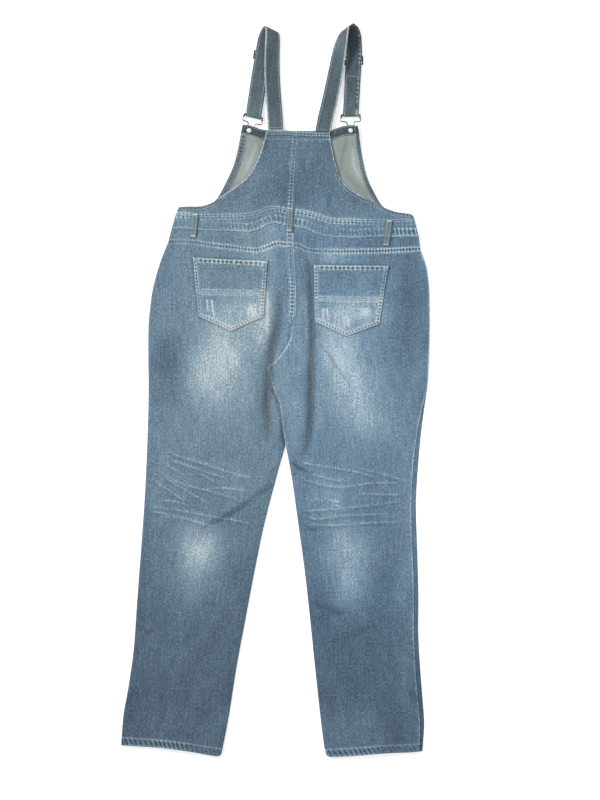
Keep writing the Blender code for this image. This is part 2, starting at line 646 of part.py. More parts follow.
def bib_top_facing():
    """The band of denim along the inside of the front bib's top edge."""
    top = smooth_run(FRONT_BIB_TOP, FINE_STEP)
    left = smooth_run(FRONT_ARM_LEFT, FINE_STEP)
    right = smooth_run(FRONT_ARM_RIGHT, FINE_STEP)
    start, end = left[-2], right[-2]
    ends = [top[0] + (start - top[0]) * FACING_DEPTH / np.linalg.norm(start - top[0]),
            top[-1] + (end - top[-1]) * FACING_DEPTH / np.linalg.norm(end - top[-1])]  # fmt: skip
    foot = top.copy()
    foot[:, 1] -= FACING_DEPTH
    foot = np.vstack([ends[0], foot[1:-1], ends[1]])
    loop = np.vstack([foot, top[::-1]])
    holes = [button_hole(side) for side in BUTTONS]
    under = plus(bib_lift, WALL + LAID_GAP)
    cloth("bib_top_facing", loop, under, plus(under, FACING_THICK), ("denim", DENIM), FACING_GRID, holes)


# Back layer


def back_leg(side):
    """A back leg from the yoke seam to the turned hem, with the seat seam on its inner side."""
    left = side == "left"
    outer = smooth_run(LEFT_OUTSEAM if left else RIGHT_OUTSEAM, EDGE_STEP)
    inseam = smooth_run(LEFT_INSEAM if left else RIGHT_INSEAM, EDGE_STEP)
    hem = smooth_run(LEFT_HEM if left else RIGHT_HEM, EDGE_STEP)
    yoke = smooth_run(LEFT_YOKE_SEAM if left else RIGHT_YOKE_SEAM, FINE_STEP)
    lap = smooth_run(LEFT_UNDERLAP if left else RIGHT_LAP, FINE_STEP)
    if left:
        loop = joined(SEAT_RUN, JOIN_RUN, lap, inseam, hem[::-1], outer[::-1], yoke)
    else:
        loop = joined(SEAT_RUN, JOIN_RUN, lap, inseam, hem, outer[::-1], yoke[::-1])
    under = under_of(side)
    over = raised(plus(under, WALL), FOLDED - WALL, [hem], HEM_DEPTH)
    lines = hem_lines(hem, HEM_DEPTH) + fold_lines()
    return cloth(f"back_leg_{side}", loop, under, over, ("denim", DENIM), lines=lines)


def back_yoke(side):
    left = side == "left"
    seam = smooth_run(LEFT_YOKE_SEAM if left else RIGHT_YOKE_SEAM, FINE_STEP)
    foot = smooth_run(LEFT_BAND_FOOT if left else RIGHT_BAND_FOOT, FINE_STEP)
    loop = np.vstack([seam, foot[::-1]])
    under = under_of(side)
    return cloth(f"back_yoke_{side}", loop, under, plus(under, WALL), ("denim", DENIM), BAND_GRID)


def back_waistband():
    foot = np.vstack([smooth_run(LEFT_BAND_FOOT, FINE_STEP)[:-1], smooth_run(RIGHT_BAND_FOOT, FINE_STEP)])
    head = np.vstack([smooth_run(LEFT_BAND_HEAD, FINE_STEP)[:-1], smooth_run(RIGHT_BAND_HEAD, FINE_STEP)])
    loop = np.vstack([foot, head[::-1]])
    return cloth("back_waistband", loop, left_under, plus(left_under, FOLDED), ("denim", DENIM), BAND_GRID)


def back_bib(side):
    left = side == "left"
    foot = smooth_run(LEFT_BAND_HEAD if left else RIGHT_BAND_HEAD, FINE_STEP)
    armhole = smooth_run(LEFT_ARMHOLE if left else RIGHT_ARMHOLE, FINE_STEP)
    centre = smooth_run(BIB_CENTRE, FINE_STEP)
    top = smooth_run(LEFT_BIB_TOP if left else RIGHT_BIB_TOP, FINE_STEP)
    if left:
        loop = joined(foot, centre, top[::-1], armhole[::-1], np.array(LEFT_CORNER[::-1], float))
    else:
        loop = joined(foot, np.array(RIGHT_CORNER, float), armhole, top[::-1], centre[::-1])
    return cloth(f"back_bib_{side}", loop, left_under, plus(left_under, WALL), ("denim", DENIM), BIB_GRID)


def back_bib_hem():
    """The turned hem that lies on the two halves of the back bib along its top."""
    top = np.vstack([smooth_run(LEFT_BIB_TOP, FINE_STEP)[:-1], smooth_run(RIGHT_BIB_TOP, FINE_STEP)])
    foot = top - np.array([0, BIB_HEM_DEPTH])
    foot[0, 0] -= BIB_HEM_SLANTS[0]
    foot[-1, 0] += BIB_HEM_SLANTS[1]
    loop = np.vstack([foot, top[::-1]])
    under = plus(left_under, WALL + LAID_GAP)
    cloth("back_bib_top_hem", loop, under, plus(under, WALL), ("denim", DENIM), BIB_GRID)


def back_pocket(side, leg):
    """A patch pocket with a pointed foot and a turned top hem, made from its leg's points."""
    corners = np.array(LEFT_POCKET if side == "left" else RIGHT_POCKET, float)
    sides = []
    for a, b in zip(corners, np.roll(corners, -1, axis=0)):
        spans = max(2, round(float(np.linalg.norm(b - a)) / POCKET_STEP))
        sides.append(np.linspace(a, b, spans, endpoint=False))
    loop = np.vstack(sides)
    under = plus(top_of(leg), SEAM_GAP)
    head = corners[:2]
    over = raised(plus(under, WALL), FOLDED - WALL, [head], POCKET_HEM)
    lines = hem_lines(np.linspace(head[0], head[1], BAND_SPANS), POCKET_HEM)
    cloth(f"back_pocket_{side}", loop, under, over, ("denim", DENIM), lines=lines, carrier=leg)


def belt_loop(row, panels):
    """A narrow strip sewn flat at both ends and standing a little off the waistband between them."""
    head, foot = np.array(row.head, float), np.array(row.foot, float)
    along = (foot - head) / np.linalg.norm(foot - head)
    across = np.array([-along[1], along[0]]) * LOOP_WIDTH / 2
    below = top_of(*panels)
    sections = []
    for t in np.linspace(0, 1, 9):
        middle = head + (foot - head) * t
        near = np.array([middle + across * a + along * b for a in (-1, 0, 1) for b in (-3, 0, 3)])
        low = float(below(near).max()) + SEAM_GAP + LOOP_ARCH * sin(pi * t)
        ends = (middle - across, middle + across)
        heights = (low, low + LOOP_THICK)
        order = ((0, 0), (1, 0), (1, 1), (0, 1))
        sections.append([(*ends[i], heights[j]) for i, j in order])
    swept(row.name, sections, ("denim", DENIM), False)


def swept(name, sections, finish, smooth=True):
    """A closed solid through sections of four or more points, with flat ends."""
    count = len(sections[0])
    points = [point for section in sections for point in section]
    faces = [tuple(range(count)), tuple(reversed(range(len(points) - count, len(points))))]
    for i in range(len(sections) - 1):
        for j in range(count):
            a, b = i * count + j, i * count + (j + 1) % count
            faces.append((a, a + count, b + count, b))
    made = add_object(name, points, faces, finish, smooth)
    outward(made)
    return made


def outward(made):
    shape = bmesh.new()
    shape.from_mesh(made.data)
    bmesh.ops.recalc_face_normals(shape, faces=shape.faces)
    shape.to_mesh(made.data)
    shape.free()


# Straps and hardware


def buckle_place(side, x, y):
    """A point of the buckle's own plan, turned about the button and put in place."""
    turn = radians(BUCKLE_TURN[side])
    centre, hooked = BUTTONS[side], BUCKLE_HOOKED[side]
    x, y = x - hooked.x, y - hooked.y
    return np.array([centre.x + x * cos(turn) - y * sin(turn), centre.y + x * sin(turn) + y * cos(turn)])


def strap_edges(side):
    """Both edges of the strip in space, from the back bib to the end of the returned tab."""
    rows = np.array(LEFT_STRAP if side == "left" else RIGHT_STRAP, float)
    path = smooth_run(rows, STRAP_STEP)
    left, right = path[:, :3], path[:, 3:]
    bar_left = np.array([*buckle_place(side, -STRAP_WIDTH / 2, BUCKLE_WIRE[0].y), BAR_HEIGHT])
    bar_right = np.array([*buckle_place(side, STRAP_WIDTH / 2, BUCKLE_WIRE[0].y), BAR_HEIGHT])
    down = buckle_place(side, 0, 0) - buckle_place(side, 0, 1)
    reach = WIRE / 2 + SEAM_GAP + STRAP_THICK / 2
    turn_left, turn_right = [], []
    for angle in np.linspace(0, pi, BAR_TURN + 1):
        shift = np.array([*(down * reach * sin(angle)), reach * cos(angle)])
        turn_left.append(bar_left + shift)
        turn_right.append(bar_right + shift)
    low = max(STRAP_THICK / 2, BAR_HEIGHT - reach)
    back_left, back_right = [], []
    middle, way = slider_place(side)
    stop = middle + np.array([way[1], -way[0]]) * (SLIDER_SIZE[1] / 2 + LAID_GAP)
    bar_way = (bar_right - bar_left)[:2] / STRAP_WIDTH
    start = (bar_left + bar_right)[:2] / 2
    for t in TAB_STATIONS:
        middle = start + (stop - start) * t
        across = bar_way + (way - bar_way) * t
        across /= np.linalg.norm(across)
        back_left.append(np.array([*(middle - across * STRAP_WIDTH / 2), low]))
        back_right.append(np.array([*(middle + across * STRAP_WIDTH / 2), low]))
    return (np.vstack([left, turn_left, back_left]), np.vstack([right, turn_right, back_right]))


def slider_place(side):
    """The slider's middle and its direction across the strap, in plan."""
    row = (LEFT_STRAP if side == "left" else RIGHT_STRAP)[SLIDER_STATION]
    left, right = np.array([row.left_x, row.left_y]), np.array([row.right_x, row.right_y])
    return (left + right) / 2, (right - left) / np.linalg.norm(right - left)


def strap(side):
    left, right = strap_edges(side)
    middle = (left + right) / 2
    across = right - left
    across /= np.linalg.norm(across, axis=1, keepdims=True)
    along = np.gradient(middle, axis=0)
    normal = np.cross(across, along)
    normal /= np.linalg.norm(normal, axis=1, keepdims=True)
    half, thick = STRAP_WIDTH / 2, STRAP_THICK / 2
    sections = []
    for m, a, n in zip(middle, across, normal):
        sections.append([m - a * half - n * thick, m + a * half - n * thick,
                         m + a * half + n * thick, m - a * half + n * thick])  # fmt: skip
    swept(f"strap_{side}", sections, ("dark_denim", DARK_DENIM))


def buckle(side):
    """A wire bent to a wide loop for the strap and a keyhole that hooks over the button."""
    half = smooth_run(BUCKLE_WIRE, WIRE_STEP)
    other = half[::-1][1:-1] * np.array([-1, 1])
    plan = np.vstack([half, other])
    ring = np.array([buckle_place(side, x, y) for x, y in plan])
    along = np.roll(ring, -1, axis=0) - np.roll(ring, 1, axis=0)
    along /= np.linalg.norm(along, axis=1, keepdims=True)
    across = np.stack([-along[:, 1], along[:, 0]], axis=1)
    turns = np.linspace(0, 2 * pi, 7)[:-1]
    points, faces = [], []
    for centre, side_way in zip(ring, across):
        for angle in turns:
            flat = centre + side_way * WIRE / 2 * cos(angle)
            points.append((*flat, BAR_HEIGHT + WIRE / 2 * sin(angle)))
    count, total = len(turns), len(ring)
    for i in range(total):
        for j in range(count):
            a, b = i * count + j, i * count + (j + 1) % count
            c, d = (i + 1) % total * count + (j + 1) % count, (i + 1) % total * count + j
            faces.append((a, b, c, d))
    made = add_object(f"buckle_{side}", points, faces, ("wire_metal", WIRE_METAL))
    outward(made)


def slider(side):
    """A flat frame with a middle bar that sets the strap's length."""
    width, length, thick = SLIDER_SIZE
    centre, way = slider_place(side)
    xs = [-width / 2, -width / 2 + SLIDER_BAR, width / 2 - SLIDER_BAR, width / 2]
    ys = [-length / 2, -length / 2 + SLIDER_BAR, -SLIDER_BAR / 2, SLIDER_BAR / 2, length / 2 - SLIDER_BAR,
          length / 2]  # fmt: skip
    shape = bmesh.new()
    grid = [[shape.verts.new((x, y, 0)) for x in xs] for y in ys]
    for j in range(len(ys) - 1):
        for i in range(len(xs) - 1):
            if i == 1 and j in (1, 3):
                continue
            shape.faces.new((grid[j][i], grid[j][i + 1], grid[j + 1][i + 1], grid[j + 1][i]))
    raised_part = bmesh.ops.extrude_face_region(shape, geom=shape.faces[:])
    lifted = [item for item in raised_part["geom"] if isinstance(item, bmesh.types.BMVert)]
    bmesh.ops.translate(shape, verts=lifted, vec=(0, 0, thick))
    bmesh.ops.recalc_face_normals(shape, faces=shape.faces)
    shape.verts.index_update()
    points = []
    for vert in shape.verts:
        flat = centre + way * vert.co.x + np.array([-way[1], way[0]]) * vert.co.y
        points.append((*flat, vert.co.z))
    faces = [[vert.index for vert in face.verts] for face in shape.faces]
    shape.free()
    made = add_object(f"slider_{side}", points, faces, ("wire_metal", WIRE_METAL), False)
    outward(made)


def bib_button(side):
    """Cap on the outside, post through the bib and round tack back on the inside, turned as one."""
    centre = BUTTONS[side]
    tack = LIFTED + WALL + LAID_GAP + FACING_THICK + SEAM_GAP
    profile = [  # radius and height
        (0, 0), (CAP_RADIUS - 1.2, 0), (CAP_RADIUS, 0.7), (CAP_RADIUS, 1.5), (CAP_RADIUS - 1, CAP_THICK),
        (POST_RADIUS, CAP_THICK), (POST_RADIUS, tack), (TACK_RADIUS, tack), (TACK_RADIUS, tack + 0.4),
        (TACK_RADIUS - 1.4, tack + TACK_THICK), (0, tack + TACK_THICK + 0.15),
    ]  # fmt: skip
    shape = bmesh.new()
    line = [shape.verts.new((r, 0, z)) for r, z in profile]
    for a, b in zip(line, line[1:]):
        shape.edges.new((a, b))
    bmesh.ops.spin(shape, geom=shape.verts[:] + shape.edges[:], cent=(0, 0, 0), axis=(0, 0, 1),
                   angle=2 * pi, steps=20, use_merge=True)  # fmt: skip
    bmesh.ops.remove_doubles(shape, verts=shape.verts[:], dist=0.01)
    bmesh.ops.recalc_face_normals(shape, faces=shape.faces)
    shape.verts.index_update()
    points = [(centre.x + vert.co.x, centre.y + vert.co.y, vert.co.z) for vert in shape.verts]
    faces = [[vert.index for vert in face.verts] for face in shape.faces]
    shape.free()
    made = add_object(f"bib_button_{side}", points, faces, ("tack_metal", TACK_METAL))
    made.data.set_sharp_from_angle(angle=radians(40))


def clear_scene():
    for found in list(bpy.data.objects):
        bpy.data.objects.remove(found, do_unlink=True)


def main():
    clear_scene()
    front_waistband()
    front_bib()
    bib_top_facing()
    panels = [back_waistband()]
    back_bib_hem()
    for side in ("left", "right"):
        front_leg(side)
        leg = back_leg(side)
        back_pocket(side, leg)
        panels += [leg, back_yoke(side), back_bib(side)]
        strap(side)
        buckle(side)
        slider(side)
        bib_button(side)
    for row in BELT_LOOPS:
        belt_loop(row, panels)


main()
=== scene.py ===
"""Denim dungarees laid flat with the back up: shaped cloth with its wash and sewing, and metal fittings.

Sizes are in millimetres unless a name says otherwise. +Y runs from the hems to the straps, and +Z is
up from the surface that the dungarees lie on.
"""

import json
from collections import namedtuple
from math import atan2, cos, degrees, pi, radians, sin

import bpy
import numpy as np
from bpy.props import FloatProperty, FloatVectorProperty, PointerProperty
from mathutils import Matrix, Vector
from mathutils.bvhtree import BVHTree
from mathutils.geometry import delaunay_2d_cdt

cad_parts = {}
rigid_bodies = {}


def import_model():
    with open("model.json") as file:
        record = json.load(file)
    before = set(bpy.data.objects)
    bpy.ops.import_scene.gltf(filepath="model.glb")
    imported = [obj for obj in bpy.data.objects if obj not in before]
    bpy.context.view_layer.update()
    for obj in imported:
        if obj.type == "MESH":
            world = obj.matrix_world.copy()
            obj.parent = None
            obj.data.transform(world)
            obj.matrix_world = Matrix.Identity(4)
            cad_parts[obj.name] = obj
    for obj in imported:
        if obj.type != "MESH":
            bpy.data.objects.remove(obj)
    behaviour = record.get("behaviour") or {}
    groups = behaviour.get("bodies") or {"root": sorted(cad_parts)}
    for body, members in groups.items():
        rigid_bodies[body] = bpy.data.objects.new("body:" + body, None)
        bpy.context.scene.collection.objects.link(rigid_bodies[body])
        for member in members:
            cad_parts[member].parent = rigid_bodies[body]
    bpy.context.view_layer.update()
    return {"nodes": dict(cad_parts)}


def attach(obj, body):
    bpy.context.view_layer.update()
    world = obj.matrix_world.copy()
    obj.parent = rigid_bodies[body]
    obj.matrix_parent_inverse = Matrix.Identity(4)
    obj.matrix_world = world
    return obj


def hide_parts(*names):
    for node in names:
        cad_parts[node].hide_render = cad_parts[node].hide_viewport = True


bl_info = {
    "name": "Denim dungarees",
    "version": (1, 0, 0),
    "blender": (4, 5, 0),
    "location": "View3D > Sidebar > Dungarees",
    "description": "Washed denim dungarees laid flat, with their sewing and metal fittings",
    "category": "Object",
}

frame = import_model()
MM = 0.001

# Cloth, as the solids have it
WALL = 1.2
FOLDED = 2.4  # two layers, in the hems and the waistband
SEAM_GAP = 0.3  # between layers at a seam
LAID_GAP = 0.5  # under a piece laid on another
HEM_DEPTH = 17.0
HEM_RAMP = (-668.0, -635.0)  # Y where the back layer comes down from the front hem
WAIST_RAMP = (275.0, 305.0)  # Y where it climbs onto the front waistband
SEAM_ROUND = 17.0  # how soon the loft rises beside a pressed seam
LAP_CLEAR = 0.15  # between the right leg and the left one under it
LAP_SIDE = (38.0, 68.0)  # X where that lap ends
LAP_FOOT = (-163.0, -113.0)  # Y where it begins
UNDER_CLEAR = 0.25  # how far an underside keeps below its own form
UNDER_REACH = 5.0  # how far round a place an underside looks for the lowest height
LIFTED = 5.3  # how high the buttons and buckles lift the front bib's corners
LIFT_FLAT = 12.0
LIFT_SPREAD = 24.0
SIDE_HEMS = (12.0, 9.0)  # front bib, left and right
FACING_DEPTH = 19.0
FACING_THICK = 1.0
POCKET_HEM = 10.0
STRAP_WIDTH = 30.5
STRAP_THICK = 2.4
LOOP_WIDTH = 12.5
LOOP_THICK = 1.6
LOOP_ARCH = 0.9
LOOP_TONE = 0.58
POST_CLEARANCE = 0.35
FACING_CLEAR = 1.5  # between the facing and the side hems' gathers
STRAP_ROW = 3.2  # from a strap's edge to its row of stitches
EDGE_ROUND = 1.3  # width and depth of a panel's rounded edge
EDGE_DROP = 0.45
LEAST_THICK = 0.5

# Fittings
WIRE = 2.2
SLEEVE = 3.6  # sleeve crimped over each corner of the buckle
SLEEVE_LOOKS = {1: "wire metal", -1: "dark metal"}  # by side, the left one tarnished
BAR_HEIGHT = 4.1
POST_RADIUS = 2.3
CAP_RADIUS = 8.5
CAP_THICK = 2.3
TACK_RADIUS = 4.4
SLIDER_SIZE = (37.0, 17.0, 1.6)
SLIDER_BAR = 2.6

Spot = namedtuple("Spot", "x y")
Loft = namedtuple("Loft", "y height")
Fold = namedtuple("Fold", "half_width dark points")  # points are x, y and height above the cloth around
Fade = namedtuple("Fade", "x y across along turn gain")  # an oval of worn cloth
Rub = namedtuple("Rub", "half_width light dark points")  # a streak: light where the cloth is worn, and dark along a trough or crease, partly as less worn cloth and partly as painted shade
Tone = namedtuple("Tone", "y tone")
# A seam's gathers, between two distances from its run: how strong they start and end, and how they slant
Band = namedtuple("Band", "run near far lift pucker period light dark slant first last",
                  defaults=(0.0, 1.0, 1.0))
Line = namedtuple("Line", "run offset half_width light dark")  # a worn or soiled line beside a run
Row = namedtuple("Row", "run offset")  # a row of stitches beside a run
Station = namedtuple("Station", "left_x left_y left_z right_x right_y right_z")
BeltLoop = namedtuple("BeltLoop", "name head foot")

# Height of the back layer over the front layer, well inside the seams
LOFT = [
    Loft(-715, 1.6), Loft(-600, 2.2), Loft(-400, 2.6), Loft(-175, 3.4), Loft(-80, 4.4), Loft(180, 4.6),
    Loft(275, 2.4), Loft(325, 1.3), Loft(380, 0.7), Loft(520, 0.5),
]

# Folds of the back layer. Ridges are positive and troughs negative. dark is how much darker a trough is
# painted than the cloth around it: partly less worn cloth and partly painted shade of the trough.
LARGE_FOLDS = [
    Fold(9.5, 0.66, [(-1, 208, -0.5), (7.5, 163, -2.6), (3, 110, -4.2), (-5, 83, -4.4), (-12, 36, -4.4),
                     (-14.5, -3, -4.2), (-15.4, -40, -3.8), (-14, -73, -3), (-13, -104, -0.8)]),
    Fold(8.0, 0.68, [(38, 309, -0.4), (54, 270, -1.6), (65.5, 235, -2.6), (69.7, 182, -3.4), (73, 92, -4.2),
                     (70, 20, -4.4), (69.6, -50, -4.2), (66.7, -81, -3.6), (63, -110, -2.6),
                     (50, -136, -0.6)]),
    Fold(24, 0, [(31, 215, 0), (33, 110, 2.4), (30, 40, 3.8), (34, -18, 3.6), (38, -77, 3), (34, -125, 0.8)]),
    Fold(17, 0, [(-22, 190, 0), (-24, 120, 1.8), (-38, 40, 2.2), (-42, -50, 1.6), (-40, -120, 0)]),
    Fold(17, 0, [(90, 200, 0), (98, 118, 1.8), (98, 20, 2.2), (92, -70, 1.6), (80, -140, 0)]),
    Fold(12, 0, [(3, 372, 0.6), (3, 330, 1.8), (0, 285, 2), (4, 235, 1.6), (8, 200, 0)]),
    Fold(11, 0.3, [(-33, 350, -0.3), (-36, 305, -1), (-33, 265, -1.1), (-30, 235, 0)]),
    Fold(9, 0, [(-30, -200, 0.4), (-60, -221, 1.4), (-95, -236, 1.6), (-130, -262, 1.4), (-168, -284, 0.2)]),
    Fold(9, 0, [(32, -150, 0.6), (58, -160, 1.4), (88, -158, 0.2)]),
    Fold(20, 0, [(-200, -470, 0), (-180, -560, 1.2), (-205, -640, 1.3), (-190, -712, 1.2)]),
    Fold(20, 0, [(190, -430, 0), (165, -540, 1.2), (190, -620, 1.2), (170, -713, 1.4)]),
    Fold(16, 0.2, [(235, -600, 0), (238, -660, -0.8), (242, -704, -1)]),
    Fold(16, 0.2, [(-250, -560, 0), (-254, -640, -0.8), (-252, -695, -1)]),
]
CREASES = [
    Fold(6, 0.5, [(-7, -188, -0.9), (-30, -200, -1.2), (-44, -209, -1.1), (-65, -224, -1.3),
                  (-85, -238, -1.4), (-116, -254, -1.2), (-141, -266, -0.9), (-161, -281, -0.1)]),
    Fold(4.0, 0.75, [(34, -143, -1.2), (48, -152, -1.5), (66, -160, -0.6), (84, -160, 0)]),
    Fold(3.5, 0.5, [(60, -266, -0.6), (77, -272, -0.9), (92, -270, 0)]),
    Fold(2.6, 0.45, [(84, 94, -0.4), (103, 70, -1), (121, 44, -0.8), (140, 16, -0.6), (156, -9, -0.1)]),
    Fold(5, 0.3, [(-167, -613, -0.1), (-141, -627, -1), (-118, -635, -0.1)]),
    Fold(4, 0.35, [(-268, -410, -0.7), (-253, -418, 0)]),
    Fold(4.5, 0.3, [(-146, -411, 0), (-124, -416, -0.9), (-104, -420, -0.1)]),
    Fold(6, 0.35, [(84, -417, -0.9), (122, -432, -1.1), (152, -428, 0)]),
    Fold(7, 0.25, [(132, -489, 0), (165, -471, -1), (198, -455, -0.1)]),
    Fold(4.5, 0.35, [(256, -580, 0), (266, -592, -0.9), (276, -601, -0.6)]),
    Fold(4, 0.35, [(250, -485, 0), (266, -493, -0.9), (277, -499, -0.6)]),
    Fold(4, 0.35, [(253, -512, 0), (268, -522, -0.9), (281, -531, -0.6)]),
    Fold(5, 0.3, [(-250, -473, -0.7), (-226, -464, 0)]),
    Fold(6, 0.2, [(-224, -672, 0), (-190, -668, -0.7), (-160, -676, -0.1)]),
    Fold(6, 0.2, [(150, -668, 0), (184, -662, -0.7), (216, -668, 0)]),
    Fold(8, 0.25, [(-214, -560, 0), (-216, -610, -0.8), (-228, -660, -0.5)]),
    Fold(7, 0.2, [(118, -560, 0), (112, -620, -0.8), (120, -676, 0)]),
    Fold(7, 0.2, [(44, 470, 0), (58, 430, -0.5), (66, 395, 0)]),
    Fold(9, 0.25, [(60, 300, -0.3), (90, 240, -0.6), (104, 215, 0)]),
]

# Worn lines across the knees
WHISKERS = [
    [(-206, -122), (-128, -147), (-46, -171)], [(-208, -134), (-151, -153), (-97, -171)],
    [(-219, -141), (-194, -155), (-171, -170)], [(-155, -157), (-130, -171), (-104, -185)],
    [(-219, -167), (-175, -194), (-128, -221)], [(-243, -171), (-208, -194), (-173, -217)],
    [(-184, -182), (-126, -196), (-69, -214)], [(-141, -192), (-97, -190), (-52, -196)],
    [(-225, -212), (-194, -217), (-161, -225)], [(-243, -225), (-178, -235), (-112, -247)],
    [(-245, -234), (-186, -247), (-132, -262)], [(-155, -241), (-98, -249), (-42, -260)],
    [(44, -139), (73, -144), (116, -151), (161, -159), (200, -171)],
    [(159, -151), (204, -161), (249, -175)], [(65, -161), (102, -171), (138, -178)],
    [(41, -167), (93, -184), (133, -188), (188, -180), (249, -180)],
    [(41, -182), (65, -192)], [(155, -200), (204, -202), (249, -203)],
    [(87, -207), (112, -214), (136, -223)], [(49, -235), (108, -231), (188, -223), (249, -215)],
    [(56, -244), (85, -250), (128, -244), (227, -240)], [(54, -260), (116, -262), (169, -258), (249, -256)],
]
WHISKER_WIDTH = 1.8
WHISKER_REACH = 8.0
WHISKER_RIDGE = 0.28
WHISKER_WEAR = 0.36
# how dark the painted shadow below each whisker is
WHISKER_SHADOW = 0.3
RUBS = [
    Rub(3.5, 0.35, 0, [(-15.5, 202), (-15, 150), (-16, 90)]),
    Rub(2.4, 0.3, 0, [(59, 184), (60, 140), (62, 90)]),
    Rub(1.4, 0.45, 0, [(-26, 118), (-30, 98), (-34, 80)]),
    Rub(1.5, 0.3, 0, [(-65, -176), (-67, -216)]),
    # Dark streaks along the seat's troughs and across the knees: partly less worn cloth and partly painted
    # shade
    Rub(1.6, 0, 0.45, [(38, 308), (46, 282), (54, 262), (60, 240)]),
    Rub(1.6, 0, 0.35, [(40, 262), (50, 236), (56, 205)]),
    Rub(10, 0, 0.6, [(77, 128), (75.5, 80), (72, 30)]),
    Rub(7, 0, 0.6, [(62, 262), (69, 215), (71, 170)]),
    Rub(8, 0, 0.55, [(5, 205), (7, 150), (0, 95)]),
    Rub(1.3, 0, 0.4, [(-125, -143), (-90, -155), (-55, -168)]),
    Rub(1.3, 0, 0.35, [(-200, -140), (-165, -158), (-140, -172)]),
    Rub(1.2, 0, 0.3, [(-112, -186), (-85, -200), (-50, -206)]),
    Rub(1.4, 0, 0.35, [(-235, -200), (-190, -212), (-150, -232)]),
    Rub(1.4, 0, 0.35, [(60, -172), (110, -192), (165, -194)]),
    Rub(1.8, 0.3, 0, [(58, -213), (100, -214), (142, -236)]),
    Rub(1.8, 0.3, 0, [(-236, -152), (-200, -172), (-170, -186)]),
    Rub(1.8, 0.28, 0, [(-190, -128), (-140, -140), (-100, -156)]),
    Rub(1.8, 0.26, 0, [(-232, -243), (-170, -252), (-110, -268)]),
]

# Back pockets: corners from the top left down and round to the top right, and the rows sewn across
POCKETS = {
    "left": np.array([(-161.5, 259), (-150.5, 144.5), (-86, 115.5), (-22.5, 143.5), (-15.5, 252)]),
    "right": np.array([(74.5, 244.5), (76.5, 134.5), (138, 105.5), (202.5, 129), (220.5, 243)]),
}
POCKET_ROWS = {
    "left": np.array([[(-155, 197), (-19, 194)], [(-153, 192), (-19, 189)], [(-153, 187), (-19, 185.0)]]),
    "right": np.array([[(77, 183), (214, 181)], [(77, 179), (214, 176)], [(77, 175), (212, 172.0)]]),
}
NICKS = {  # frayed cuts on the pockets
    "left": np.array([
        [(-133, 176), (-131, 155)], [(-124, 176), (-120, 145)], [(-52, 161), (-52, 145)],
        [(-46, 165), (-45, 145)], [(-39, 167), (-39, 149.0)],
    ]),
    "right": np.array([
        [(93, 158), (93, 136)], [(100, 159), (103, 139)], [(135, 143), (135, 126)],
        [(141, 143), (142, 126)], [(169, 159), (169, 147)], [(175, 160), (175, 147)],
        [(180, 155), (184, 155)], [(179, 159), (179, 147.0)],
    ]),
}
BARTACKS = [  # middle, heading in degrees and length
    (25.6, 281, 0, 8), (-158, 256, -50, 8), (-19, 250, 50, 8), (78, 241, -50, 8), (217, 240, 50, 8),
    (-160.3, 300.5, 0, 9), (-156.2, 342.5, 0, 9), (26.7, 311.5, 0, 9), (29.4, 354, 0, 9),
    (215.4, 284.5, 0, 9), (221.8, 330, 0, 9),
]

# Wash: how bleached the cloth is from hem to strap, then ovals of wear. 0 is unwashed and 1 is white.
TONES = [
    Tone(-720, 0.4), Tone(-600, 0.36), Tone(-450, 0.4), Tone(-330, 0.46), Tone(-200, 0.56), Tone(-80, 0.6),
    Tone(60, 0.57), Tone(160, 0.56), Tone(280, 0.55), Tone(345, 0.54), Tone(380, 0.47), Tone(500, 0.43),
]
FADES = [
    Fade(-98, 90, 62, 75, -12, 0.3), Fade(-125, 15, 66, 62, 0, 0.22), Fade(-18, 146, 17, 76, -8, 0.22),
    Fade(118, 88, 48, 62, 8, 0.3), Fade(150, 5, 56, 70, 14, 0.28), Fade(182, -62, 44, 44, 0, 0.14),
    Fade(-30, 262, 24, 22, 0, 0.24), Fade(112, 258, 40, 13, 0, 0.2), Fade(-22, 302, 40, 24, 0, 0.16),
    Fade(-85, 158, 62, 26, 0, 0.1), Fade(136, 152, 60, 26, 0, 0.2), Fade(-48, 165, 22, 40, 0, 0.18),
    Fade(184, 158, 50, 34, 0, 0.17), Fade(-205, 40, 32, 76, 0, -0.22), Fade(28, 392, 34, 34, 0, -0.12),
    Fade(184, 390, 40, 26, 0, -0.1), Fade(262, -380, 32, 260, 0, 0.15), Fade(108, -205, 36, 60, 0, 0.15),
    Fade(106, -311, 22, 40, 0, 0.08),
    Fade(-140, -292, 54, 40, -15, 0.18), Fade(-75, -162, 30, 10, -18, 0.1), Fade(-84, -197, 22, 7, 0, 0.1),
    Fade(-156, -322, 44, 42, 0, 0.2), Fade(-156, -372, 46, 52, 8, 0.2), Fade(150, -318, 50, 50, 0, 0.26),
    Fade(146, -382, 38, 48, 0, 0.3), Fade(-36, 418, 34, 26, 20, 0.1), Fade(45, 60, 14, 120, 0, 0.1),
    Fade(10, 30, 20, 90, 0, 0.08), Fade(150, -660, 60, 50, 0, 0.12), Fade(-148, -305, 34, 44, 0, 0.08),
    Fade(137, -286, 32, 38, 0, 0.12), Fade(190, 285, 40, 36, 0, -0.08), Fade(256, 170, 28, 130, 0, -0.15),
]
SIDE_DARK = 0.08  # how much less worn the cloth is beside the left outer seam
SIDE_REACH = 42.0
CAST = (0.12, 0.52, 0.3)  # blueness on the left, and what the right thigh and shin have over it
CAST_SIDE = (-40, 50)  # X between the left side's cast and the right one's
CAST_KNEE = (-380, -540)  # Y between the thigh's cast and the shin's
CAST_WAIST = (325, 370)  # Y over which the bib loses most of it

